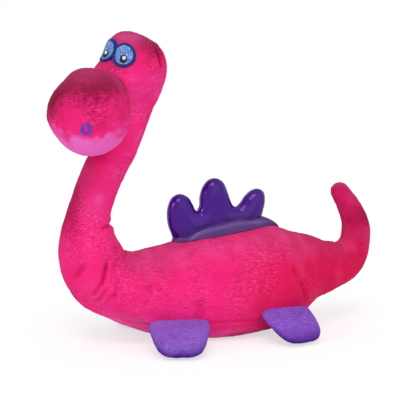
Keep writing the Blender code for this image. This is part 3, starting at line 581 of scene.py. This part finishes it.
# one stretch of the body skin between two places of the run, with a spare ring past each end
def bodySkin(name, start, stop, step, columns):
    count = int(abs(stop - start) / step) + 2
    beyond = (stop - start) / (count - 1)
    s = np.linspace(start - beyond, stop + beyond, count + 2)
    s, v = np.meshgrid(s, np.linspace(0, math.tau, columns, endpoint=False), indexing="ij")
    return dressed(name, bodyPoint(s, v), alongRun("centres", s), bodySeams(s, v), spare=(1, 1))


skinForm = dict(
    tailCut=(157, 75), trunkCut=(10, 45), neckCut=(-95, 142), headCut=(-70, 198),  # where skins meet
    trunkStep=1.0, trunkColumns=300, neckStep=0.9, neckColumns=150,
    twistReach=18, curlReach=11,  # how far from its joint the cloth turns with it, each way
    tailRings=100, tailColumns=120, capRings=14, capSpan=(6, 86),
)
cutNames = ("tailCut", "trunkCut", "neckCut", "headCut")
tailCut, trunkCut, neckCut, headCut = (placeNear(*skinForm[name]) for name in cutNames)


# rear, front and neck: three stretches of the run that meet ring to ring
def makeBody():
    step, columns = skinForm["trunkStep"], skinForm["trunkColumns"]
    rear = bodySkin("skinRear", tailCut, trunkCut, step, columns)
    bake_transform(rear)
    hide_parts("tail_base_left", "tail_base_right", "tail_base_stuffing")
    front = bodySkin("skinFront", trunkCut, neckCut, step, columns)
    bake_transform(front)
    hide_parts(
        "trunk_side_left", "trunk_side_right", "belly_gusset", "trunk_stuffing",
        "neck_lower_left", "neck_lower_right", "neck_lower_stuffing",
    )
    neck = bodySkin("skinNeck", neckCut, headCut, skinForm["neckStep"], skinForm["neckColumns"])
    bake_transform(neck)
    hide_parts("neck_upper_left", "neck_upper_right", "neck_upper_stuffing")
    makeTail()
    print("body skin made")


# the tail's end: the run's rings, then a rounded cap whose rings shrink as a cosine beyond the tip
def makeTail():
    form, rings = skinForm, skinForm["tailRings"]
    s = np.linspace(tailCut * rings / (rings - 1), 0, rings + 1)
    v = np.linspace(0, math.tau, form["tailColumns"], endpoint=False)
    grid, angle = np.meshgrid(s, v, indexing="ij")
    tube = bodyPoint(grid, angle)
    tip, radius = run["centres"][0], run["wide"][0]
    heading = -run["tangents"][0]
    bow = np.radians(np.linspace(*form["capSpan"], form["capRings"]))
    left, back = runSides(np.zeros(1))
    rim = np.sin(v)[:, None] * left + np.cos(v)[:, None] * back
    cap = tip + radius * (np.cos(bow)[:, None, None] * rim + np.sin(bow)[:, None, None] * heading)
    points = np.concatenate([tube, cap])
    middles = np.concatenate([alongRun("centres", grid), np.broadcast_to(tip, cap.shape)])
    seams = np.concatenate([bodySeams(grid, angle), np.zeros(cap.shape[:2])])
    tail = dressed("skinTail", points, middles, seams, (None, tip + radius * heading), spare=(1, 0))
    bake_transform(tail)
    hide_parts("tail_tip_left", "tail_tip_right", "tail_tip_stuffing")


headForm = dict(
    droop=30.6,  # degrees that the nose points down
    offset=(0.7, -3.0, 20.0),  # head middle from the nod joint
    front=46.0, back=25.0, width=51.5, depth=48.0,  # along the nose each way from the middle, across, up
    crownPitch=45.0, crownFront=34.0, crownBack=27.0, crownDepth=44.0,  # a second egg, for brow and crown
    eggPower=8,  # how tightly the two eggs run together
    # towards, width and depth of each dent, and of the swelling under the right eye
    dents=[((-0.76, 0.42, 0.5), 0.48, 4.6), ((-0.2, 0.0, 0.98), 0.4, -1.6)],
    bridge=[((-0.97, -0.22, -0.1), 0.26, -6.0)],
    neckRound=16.0, neckOverlap=24.0, neckStations=7,  # how softly and how far down the neck is met
    rayReach=58.0,
    columns=190, neckRings=25, climbRings=24, climbStart=0.04, tiltedBy=0.7, domeRings=54, domeSpan=(2, 88.5),
    axisLift=4.0, seamFaint=0.35, foldDepth=1.3, foldWidth=4.0,
    nodAcross=(0.6, 0.8), nodBelow=12, nodAbove=8,  # forward and up shares of the nod's spread, and its reach
)
snoutForm = dict(
    reach=73.2, size=(70.0, 68.0, 73.0),  # middle from the head's middle, length, width and depth
    round=17.0, skirtSunk=0.9,  # how softly it runs into the head, and how far its skirt lies under the pile
    dents=[((-0.54, 0.32, 0.77), 0.75, 3.8), ((-0.75, 0.05, -0.6), 0.4, 1.6), ((-0.5, 0.85, 0.1), 0.3, -1.2)],
    dentsEnd=(1.6, 2.1),  # opening angle in radians over which the dents fade out towards the head
    rayReach=60.0, columns=220, rings=120, opening=(1.2, 152), seamFaint=0.3,
)

headTurn, headDroop = math.radians(bodyForm["headTurn"]), math.radians(headForm["droop"])
noseFlat = np.array((-math.cos(headTurn), -math.sin(headTurn), 0.0))
headLeft = np.cross(upward, noseFlat)
headForward = noseFlat * math.cos(headDroop) - upward * math.sin(headDroop)
headUp = np.cross(headForward, headLeft)
headMiddle = jointAt["head_nod"] + np.array(headForm["offset"])
snoutMiddle = headMiddle + snoutForm["reach"] * headForward
headAxes = np.stack([headForward, headLeft, headUp], axis=-1)
pitch = math.radians(headForm["crownPitch"])
crownForward = noseFlat * math.cos(pitch) + upward * math.sin(pitch)
crownAxes = np.stack([crownForward, headLeft, np.cross(crownForward, headLeft)], axis=-1)


# near distance to the snout's egg: k0 (k0 - 1) / k1, where k0 scales the point by the half sizes and k1 by
# their squares
def ballGap(points):
    half = np.array(snoutForm["size"]) / 2
    local = (points - snoutMiddle) @ headAxes
    k0 = np.linalg.norm(local / half, axis=-1)
    k1 = np.maximum(np.linalg.norm(local / half**2, axis=-1), tiny)
    return k0 * (k0 - 1) / k1


# how far an egg with unlike ends reaches along unit rays: one over the length of the ray scaled by half sizes
def eggReach(rays, axes, front, back, width, depth):
    local = rays @ axes
    ahead = np.where(local[..., 0] > 0, local[..., 0] / front, local[..., 0] / back)
    squares = ahead**2 + (2 * local[..., 1] / width) ** 2 + (2 * local[..., 2] / depth) ** 2
    return 1 / np.sqrt(np.maximum(squares, tiny))


# how much shorter rays are near each dent: its depth times a bell of the angle to it
def dented(rays, dents):
    total = 0
    for towards, width, depth in dents:
        angle = np.arccos(np.clip(rays @ unit(np.array(towards)), -1, 1))
        total = total + depth * bell(angle, width)
    return total


# distance along the ray from the head's middle to its skin: two eggs on one middle, rounded together as the
# root of a sum of high powers, less the dents
def skullGap(points, dents):
    away = np.maximum(np.linalg.norm(points - headMiddle, axis=-1), tiny)
    rays = (points - headMiddle) / away[..., None]
    form, width, power = headForm, headForm["width"], headForm["eggPower"]
    face = eggReach(rays, headAxes, form["front"], form["back"], width, form["depth"])
    crown = eggReach(rays, crownAxes, form["crownFront"], form["crownBack"], width, form["crownDepth"])
    return away - (face**power + crown**power) ** (1 / power) + dented(rays, dents)


# distance to the neck's upper end: nearest of a few tapered lengths of the run
def neckGap(points):
    s = np.linspace(headCut - headForm["neckOverlap"], run["places"][-1], headForm["neckStations"])
    centres, radii = alongRun("centres", s), alongRun("wide", s)
    nearest = np.full(points.shape[:-1], np.inf)
    for number in range(len(s) - 1):
        line = centres[number + 1] - centres[number]
        share = np.clip((points - centres[number]) @ line / (line @ line), 0, 1)
        gap = np.linalg.norm(points - centres[number] - share[..., None] * line, axis=-1)
        nearest = np.minimum(nearest, gap - radii[number] - share * (radii[number + 1] - radii[number]))
    return nearest


# distance to the head's skin: the softened smallest of the skull's, with its swelling, and the neck's
def headGap(points):
    skull = skullGap(points, headForm["dents"] + headForm["bridge"])
    return softMin(neckGap(points), skull, headForm["neckRound"])


# distance to the snout's skin: the softened smallest of the ball's and the skull's, whose skirt runs a little
# under the head's pile and under its swelling, so that no edge stands up
def snoutGap(points):
    head = skullGap(points, headForm["dents"]) + snoutForm["skirtSunk"]
    return softMin(ballGap(points), head, snoutForm["round"])


# how near a point is to both the head's skin and the snout's, 1 in the fold between them; the fold is sunk by
# it, and that dip also paints shade into the nap mark
def snoutFold(points):
    skull = skullGap(points, headForm["dents"] + headForm["bridge"])
    return bell(ballGap(points), headForm["foldWidth"]) * bell(skull, headForm["foldWidth"])


# how far each ray runs before it leaves the solid that the distance function describes: even steps out, and
# a straight line between the last step inside and the first one outside
def castOut(gapOf, origins, directions, reach, steps=56):
    origins, directions = np.broadcast_arrays(origins, directions)
    radius = np.full(directions.shape[:-1], float(reach))
    found = np.zeros(radius.shape, bool)
    before = gapOf(origins)
    for number in range(1, steps + 1):
        far = reach * number / steps
        gap = gapOf(origins + far * directions)
        hit = ~found & (gap > 0)
        share = gap / np.where(np.abs(gap - before) < tiny, tiny, gap - before)
        radius = np.where(hit, far - reach / steps * share, radius)
        found |= hit
        before = gap
    return radius


# where one ray from a middle leaves the skin
def skinAlong(gapOf, middle, direction):
    return middle + castOut(gapOf, middle, direction[None], headForm["rayReach"])[0] * direction


# head skin: rays square to the neck up to the head's middle, then a dome of rays turning up to the crown
def makeHead():
    form, rings = headForm, headForm["neckRings"]
    v = np.linspace(0, math.tau, form["columns"], endpoint=False)
    neckEnd = run["places"][-1]
    s = np.linspace(headCut - (neckEnd - headCut) / rings, neckEnd, rings + 2)
    left, back = runSides(s)
    rim = np.sin(v)[None, :, None] * left[:, None] + np.cos(v)[None, :, None] * back[:, None]
    lowOrigins = np.broadcast_to(alongRun("centres", s)[:, None], rim.shape)
    endCentre = alongRun("centres", s[-1:])[0]
    axis = unit(headMiddle + form["axisLift"] * upward - endCentre)
    lift = np.linspace(form["climbStart"], 1, form["climbRings"])
    climb = endCentre + lift[:, None] * (headMiddle - endCentre)
    tilt = unit(rim[-1] - (rim[-1] @ axis)[:, None] * axis)
    middleRim = unit(rim[-1] + ease(lift, 0, form["tiltedBy"])[:, None, None] * (tilt - rim[-1]))
    middleOrigins = np.broadcast_to(climb[:, None], middleRim.shape)
    rise = np.radians(np.linspace(*form["domeSpan"], form["domeRings"]))
    domeRim = np.cos(rise)[:, None, None] * tilt + np.sin(rise)[:, None, None] * axis
    domeOrigins = np.broadcast_to(headMiddle, domeRim.shape)
    origins = np.concatenate([lowOrigins, middleOrigins, domeOrigins])
    directions = np.concatenate([rim, middleRim, domeRim])
    points = origins + castOut(headGap, origins, directions, form["rayReach"])[..., None] * directions
    crown = skinAlong(headGap, headMiddle, axis)
    acrossHead = (points[len(s) :] - headMiddle) @ headLeft
    headSeam = form["seamFaint"] * bell(acrossHead, plushForm["seamWidth"])
    seams = np.concatenate([bodySeams(*np.meshgrid(s, v, indexing="ij")), headSeam])
    seams = seams + form["foldDepth"] * snoutFold(points)
    head = dressed("skinHead", points, origins, seams, (None, crown), spare=(1, 0))
    nodAt, (ahead, up) = jointAt["head_nod"], form["nodAcross"]
    across = unit(ahead * noseFlat + up * upward)
    below, above = nodAt - form["nodBelow"] * across, nodAt + form["nodAbove"] * across
    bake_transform(head)
    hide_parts("head_left", "head_right", "head_stuffing")
    print("head skin made")


# snout skin: rays from the snout's middle, from the nose tip back to a skirt that runs on to the head,
# shortened by a bell about each dent
def makeSnout():
    form = snoutForm
    v = np.linspace(0, math.tau, form["columns"], endpoint=False)
    opening = np.radians(np.linspace(*form["opening"], form["rings"]))
    rim = np.sin(v)[:, None] * headLeft + np.cos(v)[:, None] * headUp
    directions = np.cos(opening)[:, None, None] * headForward + np.sin(opening)[:, None, None] * rim
    onBall = 1 - ease(opening, *form["dentsEnd"])[:, None]
    reach = castOut(snoutGap, snoutMiddle, directions, form["rayReach"])
    reach = reach - onBall * dented(directions, form["dents"])
    points = snoutMiddle + reach[..., None] * directions
    middleSeam = form["seamFaint"] * bell((points - snoutMiddle) @ headLeft, plushForm["seamWidth"])
    seams = middleSeam + headForm["foldDepth"] * snoutFold(points)
    nose = points[0].mean(axis=0)
    snout = dressed("skinSnout", points, snoutMiddle, seams, (nose, None), tone=snoutTone, seed=5)
    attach(snout, "head")
    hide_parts("snout_left", "snout_right", "snout_stuffing")
    print("snout skin made")


# unit direction from an egg's middle, turned sideways and lifted from straight ahead
def faceDirection(side, lift):
    side, lift = math.radians(side), math.radians(lift)
    aside = math.cos(side) * headForward + math.sin(side) * headLeft
    return math.cos(lift) * aside + math.sin(lift) * headUp


# outward direction at a point of a skin: the steepest rise of its distance, from steps of 3 mm each way
def slopeOf(gapOf, middle):
    steps = 3 * np.eye(3)
    return unit(gapOf(middle + steps) - gapOf(middle - steps))


# the direction up the face, square to a patch's normal
def riseOf(normal):
    return unit(upward - (upward @ normal) * normal)


patchForm = dict(
    sunk=14.0,  # how far under the skin the rays that find it start
    threadRise=0.22, radialThreads=34, rowThreads=5.2,  # height, number round a ring, radians to a millimetre
    tall=1.08,  # height of an eye over its width
    rim=0.5, tuck=0.6, wall=1.4,  # round of the edge, how far it goes under the pile, depth of a hole's wall
    rings=22, rimRings=6, columns=96, start=0.15,
)


# threads that run outwards: a cosine of the angle
def radialThreads(ring, angle):
    return np.cos(patchForm["radialThreads"] * angle)


# threads side by side: a cosine of the distance across
def rowThreads(ring, angle):
    return np.cos(ring * np.cos(angle) * patchForm["rowThreads"])


# degrees from the nose's line, sideways and up: the right eye is sewn nearer the middle, and higher
eyeAt = dict(left=(27.0, 45.0), right=(-21.0, 54.0))
eyeLayers = [  # outer and inner radius, height, place up and to the left of the eye's middle
    dict(name="Border", radius=10.2, hole=7.8, height=1.0, up=0.0, left=0.0,
         threads=radialThreads, finish=threadNavy, slot="navy_thread"),
    dict(name="Iris", radius=8.4, hole=0.0, height=0.8, up=0.0, left=0.0,
         threads=rowThreads, finish=threadBlue, slot="blue_thread"),
    dict(name="Pupil", radius=3.6, hole=0.0, height=1.3, up=-3.6, left=0.0,
         threads=rowThreads, finish=threadBlack, slot="black_thread"),
    dict(name="Glint", radius=1.9, hole=0.0, height=1.7, up=-2.7, left=0.7,
         threads=rowThreads, finish=threadWhite, slot="white_thread"),
]


# a round stitched patch: rings about a middle, dropped on to the head along the middle's normal, threads as
# ridges on top
def patchGrid(middle, normal, rings, turns, height, threads):
    form, second = patchForm, riseOf(normal)
    first = np.cross(second, normal)
    ring, angle = np.meshgrid(rings, turns, indexing="ij")
    spoke = np.cos(angle)[..., None] * first + form["tall"] * np.sin(angle)[..., None] * second
    flat = middle + ring[..., None] * spoke - form["sunk"] * normal
    depth = castOut(headGap, flat, np.broadcast_to(normal, flat.shape), 2 * form["sunk"])
    ridge = 0.5 + 0.5 * threads(ring, angle)
    return flat + (depth + height + form["threadRise"] * ridge)[..., None] * normal, ridge


# one layer of an eye: a disc, or a ring with a wall round its hole, whose edge is a quarter round that tucks
# under the pile
def makeEyeLayer(sideName, layer, middle, normal):
    form, height = patchForm, layer["height"]
    bend = np.radians(np.linspace(0, 90, form["rimRings"]))[1:]
    inner = layer["radius"] - form["rim"]
    level = np.linspace(max(layer["hole"], form["start"]), inner, form["rings"])
    rings = np.concatenate([level, inner + form["rim"] * np.sin(bend)])
    rimHeights = height * np.cos(bend) - form["tuck"] * np.sin(bend)
    heights = np.concatenate([np.full(len(level), height), rimHeights])
    turns = np.linspace(0, math.tau, form["columns"], endpoint=False)
    points, ridge = patchGrid(middle, normal, rings, turns, heights[:, None], layer["threads"])
    ends = (points[0].mean(axis=0), None)
    if layer["hole"]:
        points = np.concatenate([points[:1] - form["wall"] * normal, points])
        ridge = np.concatenate([ridge[:1], ridge])
        ends = (None, None)
    piece = ringMesh(f"eye{layer['name']}_{sideName}", points, ends, layer["finish"], {"ridgeShade": ridge})
    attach(piece, "head")
    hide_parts(f"eye_{sideName}_{layer['name'].lower()}")


# an eye: four layers of stitching about the place where its direction leaves the head
def makeEyes():
    for sideName, place in eyeAt.items():
        middle = skinAlong(headGap, headMiddle, faceDirection(*place))
        normal = slopeOf(headGap, middle)
        for layer in eyeLayers:
            layerAt = middle + layer["up"] * riseOf(normal) + layer["left"] * headLeft
            makeEyeLayer(sideName, layer, layerAt, normal)
    print("eyes made")


nostrilForm = dict(
    spread=47.5, lift=6.0, turn=-15.5,  # degrees from the snout's line; the pair is sewn off its middle
    radius=4.6, stroke=2.2, opening=50.0,  # of the horseshoe, its cord and its gap in degrees
    flick=11, flickUp=2.2, flickAside=1.5,  # points of the end that flicks, and how far
    count=70, columns=28, endRound=5.0, endThick=0.05,
    stitches=26, stitchRise=0.1, flatness=0.75, proud=0.15,
)


# a nostril: a round cord of stitches bent to a horseshoe on the snout, open at the top, with one end flicked
# up and both ends rounded off as a circle is
def makeNostrils():
    form = nostrilForm
    half, sunk = form["stroke"] / 2, patchForm["sunk"]
    number = np.arange(form["count"])
    gap = math.radians(form["opening"]) / 2
    angle = np.linspace(gap, math.tau - gap, form["count"])
    v = np.linspace(0, math.tau, form["columns"], endpoint=False)
    flick = np.clip(1 - number / form["flick"], 0, 1)[:, None] ** 2
    fromEnd = np.minimum(np.minimum(number, number[::-1]) / form["endRound"], 1)
    thick = half * np.sqrt(1 - (1 - fromEnd) ** 2) + form["endThick"]
    ridge = 0.5 + 0.5 * np.cos(angle * form["stitches"])[:, None] * np.ones(len(v))
    swell = thick[:, None] * (1 + form["stitchRise"] * ridge)
    for sideName, side in (("left", 1), ("right", -1)):
        direction = faceDirection(side * form["spread"] + form["turn"], form["lift"])
        middle = skinAlong(snoutGap, snoutMiddle, direction)
        normal = slopeOf(snoutGap, middle)
        rise = riseOf(normal)
        across = np.cross(rise, normal)
        outward = unit(np.cos(angle)[:, None] * rise + np.sin(angle)[:, None] * across)
        flat = middle + (form["radius"] - half) * outward - sunk * normal
        flat = flat + flick * (form["flickUp"] * rise - form["flickAside"] * across)
        depth = castOut(snoutGap, flat, np.broadcast_to(normal, flat.shape), 2 * sunk)
        path = flat + (depth + form["proud"])[:, None] * normal
        ring = np.cos(v)[:, None] * outward[:, None] + form["flatness"] * np.sin(v)[:, None] * normal
        points = path[:, None] + swell[..., None] * ring
        ends = (path[0], path[-1])
        piece = ringMesh(f"nostrilCord_{sideName}", points, ends, threadViolet, {"ridgeShade": ridge})
        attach(piece, "head")
        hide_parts(f"nostril_{sideName}")
    print("nostrils made")


combForm = dict(
    # side-view edge of the three fins, from the front foot to the rear one
    edge=[
        (-25, 92), (-29, 100), (-31, 110), (-30, 121), (-26, 128.5), (-19.5, 131.3), (-12.4, 128.4),
        (-7.6, 121.2), (-5.2, 116.6), (-3, 115), (-0.6, 118.6), (0.2, 128), (3.4, 137.2), (9, 143),
        (15, 144.2), (20.8, 141.2), (25.4, 133), (28.6, 124), (31.8, 118.4), (35.5, 117.2), (39, 119.8),
        (44.3, 126.5), (50.5, 131.4), (57, 132.8), (61.5, 130), (63, 123), (61, 112), (57, 100),
    ],
    footFront=-25.0, footLength=84.0, footEase=0.4, footSunk=2.0, underSunk=3.0,  # line they stand on
    halfThick=8.5, edgeRound=13.0, edgePower=0.72, endTaper=0.05,
    rings=260, columns=57, underColumns=8, underHalf=0.9,
    paintedCreaseShade=0.8, creaseAt=1.2, creaseWidth=1.5, creaseShare=0.7,  # painted shade: a dark line along the fins just above the saddle
    saddleFront=-27.0, saddleRear=78.0, saddleHalf=13.5, saddleRise=13.5, saddleLift=0.5, saddleUnder=3.0,
    backCurve=92.0,  # twice the radius of the back across the saddle
    taperPower=(0.34, 0.26), taperSpan=(0.3, 0.8), risePower=1.3,
    # the groove beside the fins, and where and how wide the painted highlight runs along the saddle's
    # shoulders
    grooveDepth=1.6, grooveAt=9.0, grooveWidth=0.9, paintedHighlightAt=0.78, paintedHighlightWidth=0.08,
    saddleRings=120, saddleColumns=112,
)


# height of the back at a side-view x, from the top line of the run
def backHeight(x):
    s = np.linspace(placeNear(110, 54), placeNear(-80, 52), 200)
    top = bodyPoint(s, np.zeros_like(s))
    order = np.argsort(top[:, 0])
    return np.interp(x, top[order, 0], top[order, 2])


# the saddle's fullness along x, a sine power that draws it to a point at both ends, more finely at the rear
def saddleTaper(x):
    share = (x - combForm["saddleFront"]) / (combForm["saddleRear"] - combForm["saddleFront"])
    blunt, finer = combForm["taperPower"]
    power = blunt + finer * ease(share, *combForm["taperSpan"])
    return np.maximum(np.sin(np.pi * np.clip(share, 0, 1)), 0.002) ** power


# fins: each edge point is joined to a point of the foot line, and the width rises from the edge as a
# quarter round
def makeFins():
    form, bunch = combForm, combForm["footEase"]
    corners = np.array(form["edge"], float)
    knots = lengthsAlong(corners)
    places = np.linspace(0, knots[-1], form["rings"])
    edge = curveThrough(knots, corners, places)
    share = places / knots[-1]
    footX = form["footFront"] + form["footLength"] * (bunch * ease(share, 0, 1) + (1 - bunch) * share)
    foot = np.stack([footX, backHeight(footX) - form["footSunk"]], axis=-1)
    across = np.radians(np.linspace(-90, 90, form["columns"]))
    flat = foot[:, None] + (edge - foot)[:, None] * np.cos(across)[None, :, None] ** form["edgePower"]
    inward = np.min(np.linalg.norm(flat[:, :, None] - edge[None, None, ::2], axis=-1), axis=-1)
    inward = np.where(np.abs(across) < tiny, 0, inward)
    swell = np.sqrt(1 - (1 - np.clip(inward / form["edgeRound"], 0, 1)) ** 2)
    fullness = np.clip(np.minimum(share, 1 - share) / form["endTaper"], 0, 1)
    thick = form["halfThick"] * np.sqrt(fullness)[:, None]
    points = np.stack([flat[..., 0], thick * swell * np.sign(across), flat[..., 1]], axis=-1)
    underY = thick * np.linspace(form["underHalf"], -form["underHalf"], form["underColumns"])
    under = np.broadcast_arrays(foot[:, None, 0], underY, foot[:, None, 1] - form["underSunk"])
    points = np.concatenate([points, np.stack(under, axis=-1)], axis=1)
    x, z = points[..., 0], points[..., 2]
    # painted shade: the fins darken in a line just above the saddle's top
    saddleTop = form["creaseShare"] * form["saddleRise"] * saddleTaper(x) ** form["risePower"]
    rise = z - backHeight(x) - saddleTop
    paintedShadeOrHighlight = form["paintedCreaseShade"] * bell(rise - form["creaseAt"], form["creaseWidth"])
    piece = ringMesh("combFins", points, (None, None), vinylFins, {"paintedShadeOrHighlight": paintedShadeOrHighlight})
    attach(piece, "trunk")
    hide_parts("comb")


# saddle: a crescent pad on the back, peaked along its middle and drawn to a point at both ends, grooved
# beside the fins, with a painted highlight along its shoulders
def makeSaddle():
    form = combForm
    share = np.linspace(0, 1, form["saddleRings"])
    x = form["saddleFront"] + (form["saddleRear"] - form["saddleFront"]) * share
    taper = saddleTaper(x)[:, None]
    turns = np.linspace(0, math.tau, form["saddleColumns"], endpoint=False)
    across = np.cos(turns)
    y = form["saddleHalf"] * taper * across
    groove = form["grooveDepth"] * bell(np.abs(y) - form["grooveAt"], form["grooveWidth"]) * taper
    crown = form["saddleRise"] * taper ** form["risePower"] * (1 - np.abs(across) ** 3) - groove
    relief = np.where(np.sin(turns) >= 0, crown, -form["saddleUnder"] * (1 - across**2))
    z = backHeight(x)[:, None] - y**2 / form["backCurve"] + relief + form["saddleLift"]
    points = np.stack([np.broadcast_to(x[:, None], y.shape), y, z], axis=-1)
    # painted highlight: a pale band along the saddle's shoulders
    paintedShadeOrHighlight = ease(taper, *form["taperSpan"]) * bell(np.abs(across) - form["paintedHighlightAt"], form["paintedHighlightWidth"])
    ends = (points[0].mean(axis=0), points[-1].mean(axis=0))
    piece = ringMesh("combSaddle", points, ends, vinylSaddle, {"paintedShadeOrHighlight": paintedShadeOrHighlight})
    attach(piece, "trunk")
    print("comb made")


footForm = dict(
    width=54.0, front=46.0, rear=37.5, thick=16.0, toeRise=5.0, rootRadius=5.5, rootShare=0.4, sunk=9.0,
    rootCorner=7.0, toeCorner=3.2, taper=0.2,  # squareness at each end, and how much the toe narrows
    bulgePower=(2.6, 0.55), rootThin=0.8, rootSpan=22.0,  # roundness, and thinning at the seam
    rimDepth=0.7, rimReach=24.0, rimWidth=1.2,
    columns=150, topRings=34, soleRings=32, topSpan=(3, 90), soleSpan=(93, 177),
)


# a pad: top and sole as two bulged sheets on one outline, a circle squared by a power at its corners, with
# the height falling to a sewn rim
def makeFoot(where, sideName, side):
    form, name = footForm, f"foot_{where}_{sideName}"
    joint, hinge = jointAt[f"{name}_lift"], jointAxis[f"{name}_lift"]
    out = np.cross(upward, hinge)
    out = out if out[1] * side < 0 else -out
    length = form[where]
    drop = (joint[2] - form["toeRise"]) / (length - form["rootShare"] * form["rootRadius"])
    heading = out * math.sqrt(1 - drop * drop) - upward * drop
    top = np.cross(heading, hinge)
    top = top if top[2] > 0 else -top
    turns = np.linspace(0, math.tau, form["columns"], endpoint=False)
    topBow = np.linspace(*form["topSpan"], form["topRings"])
    soleBow = np.linspace(*form["soleSpan"], form["soleRings"])
    ring, angle = np.meshgrid(np.sin(np.radians(np.concatenate([topBow, soleBow]))), turns, indexing="ij")
    sign = np.concatenate([np.ones(len(topBow)), -np.ones(len(soleBow))])[:, None]
    cosine, sine = np.cos(angle), np.sin(angle)
    corner = np.where(cosine < 0, form["rootCorner"], form["toeCorner"])
    squared = (np.abs(cosine) ** corner + np.abs(sine) ** corner) ** (-1 / corner)
    half = (length + form["sunk"]) / 2
    along = half - form["sunk"] + half * ring * squared * cosine
    wide = form["width"] / 2 * (1 - form["taper"] * ease(along, 0, length))
    across = wide * ring * squared * sine
    (inner, outer), thin = form["bulgePower"], form["rootThin"]
    bulge = form["thick"] / 2 * np.maximum(1 - ring**inner, 0) ** outer
    bulge = bulge * (thin + (1 - thin) * ease(along, 0, form["rootSpan"]))
    points = joint + along[..., None] * heading + across[..., None] * hinge + (sign * bulge)[..., None] * top
    middles = np.broadcast_to(joint + (half - form["sunk"]) * heading, points.shape)
    seams = form["rimDepth"] * bell((1 - ring) * form["rimReach"], form["rimWidth"])
    ends = (points[0].mean(axis=0), points[-1].mean(axis=0))
    seed = 7 + side + len(where)  # another one for each foot
    piece = dressed(name.replace("foot", "pad"), points, middles, seams, ends, plushPurple, footTone, seed)
    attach(piece, name)
    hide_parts(f"{name}_top", f"{name}_sole", f"{name}_stuffing")


makeBody()
makeHead()
makeSnout()
makeEyes()
makeNostrils()
makeFins()
makeSaddle()
for whereName, (sideName, side) in itertools.product(("front", "rear"), (("left", 1), ("right", -1))):
    makeFoot(whereName, sideName, side)
print("feet made")


setForm = dict(
    azimuth=-21.0, elevation=7.5, distance=1.0, target=(0, 0, 0.125), lens=100.0, sensor=36.0,
    worldLight=0.53,
    floorHalf=8, floorGlow=0.62, floorSeen=0.5, floorUnseen=0.9,  # grey to the camera and to the light
)
lampForm = [  # strength, height and swing of each lamp in degrees, and how wide it looks
    dict(name="key", strength=0.84, lift=50, swing=-24, width=26),
    dict(name="side", strength=0.4, lift=20, swing=-68, width=7),
    dict(name="fill", strength=0.54, lift=18, swing=16, width=60),
]


# an opaque grey
def grey(level):
    return (level, level, level, 1)


# a flat square of paper, which glows for the camera so that only the shadow shows on it
def makeFloor():
    half = setForm["floorHalf"]
    mesh = bpy.data.meshes.new("floor")
    corners = [(-half, -half, 0), (half, -half, 0), (half, half, 0), (-half, half, 0)]
    mesh.from_pydata(corners, [], [(0, 1, 2, 3)])
    floor = bpy.data.objects.new("floor", mesh)
    bpy.context.scene.collection.objects.link(floor)
    paper = Finish("paper", Roughness=0.9, Specular_IOR_Level=0.0)
    seen = paper.seen()
    glow = paper.mix(seen, grey(0), grey(setForm["floorGlow"]))
    pale = paper.mix(seen, grey(setForm["floorUnseen"]), grey(setForm["floorSeen"]))
    mesh.materials.append(paper.surface(Base_Color=pale, Emission_Color=glow, Emission_Strength=1.0))


# a soft sky that the camera sees as white, and lamps that shine from their height and swing
def makeLight():
    world = bpy.data.worlds.new("studio")
    bpy.context.scene.world = world
    world.use_nodes = True
    sky = Nodes(world.node_tree)
    soft = sky.node("ShaderNodeBackground", {}, {"Color": grey(1), "Strength": setForm["worldLight"]})
    white = sky.node("ShaderNodeBackground", {}, {"Color": grey(1), "Strength": 1.0})
    both = sky.node("ShaderNodeMixShader", {}, {0: sky.seen(), 1: soft, 2: white})
    sky.feed(world.node_tree.nodes["World Output"].inputs["Surface"], both)
    for form in lampForm:
        lamp = bpy.data.lights.new(form["name"], "SUN")
        lamp.energy, lamp.angle = form["strength"], math.radians(form["width"])
        holder = bpy.data.objects.new(form["name"], lamp)
        holder.rotation_euler = (math.radians(90 - form["lift"]), 0, math.radians(form["swing"]))
        bpy.context.scene.collection.objects.link(holder)


# the camera stands off its target by the distance, along the azimuth and elevation
def makeCamera():
    camera = bpy.data.cameras.new("camera")
    camera.lens, camera.sensor_width = setForm["lens"], setForm["sensor"]
    holder = bpy.data.objects.new("camera", camera)
    azimuth, elevation = math.radians(setForm["azimuth"]), math.radians(setForm["elevation"])
    level = math.cos(elevation)
    back = np.array((math.sin(azimuth) * level, -math.cos(azimuth) * level, math.sin(elevation)))
    holder.location = np.array(setForm["target"]) + setForm["distance"] * back
    holder.rotation_euler = (math.radians(90) - elevation, 0, azimuth)
    bpy.context.scene.collection.objects.link(holder)
    bpy.context.scene.camera = holder
    bpy.context.scene.view_settings.view_transform = "Standard"


makeFloor()
makeLight()
makeCamera()
print("set made")
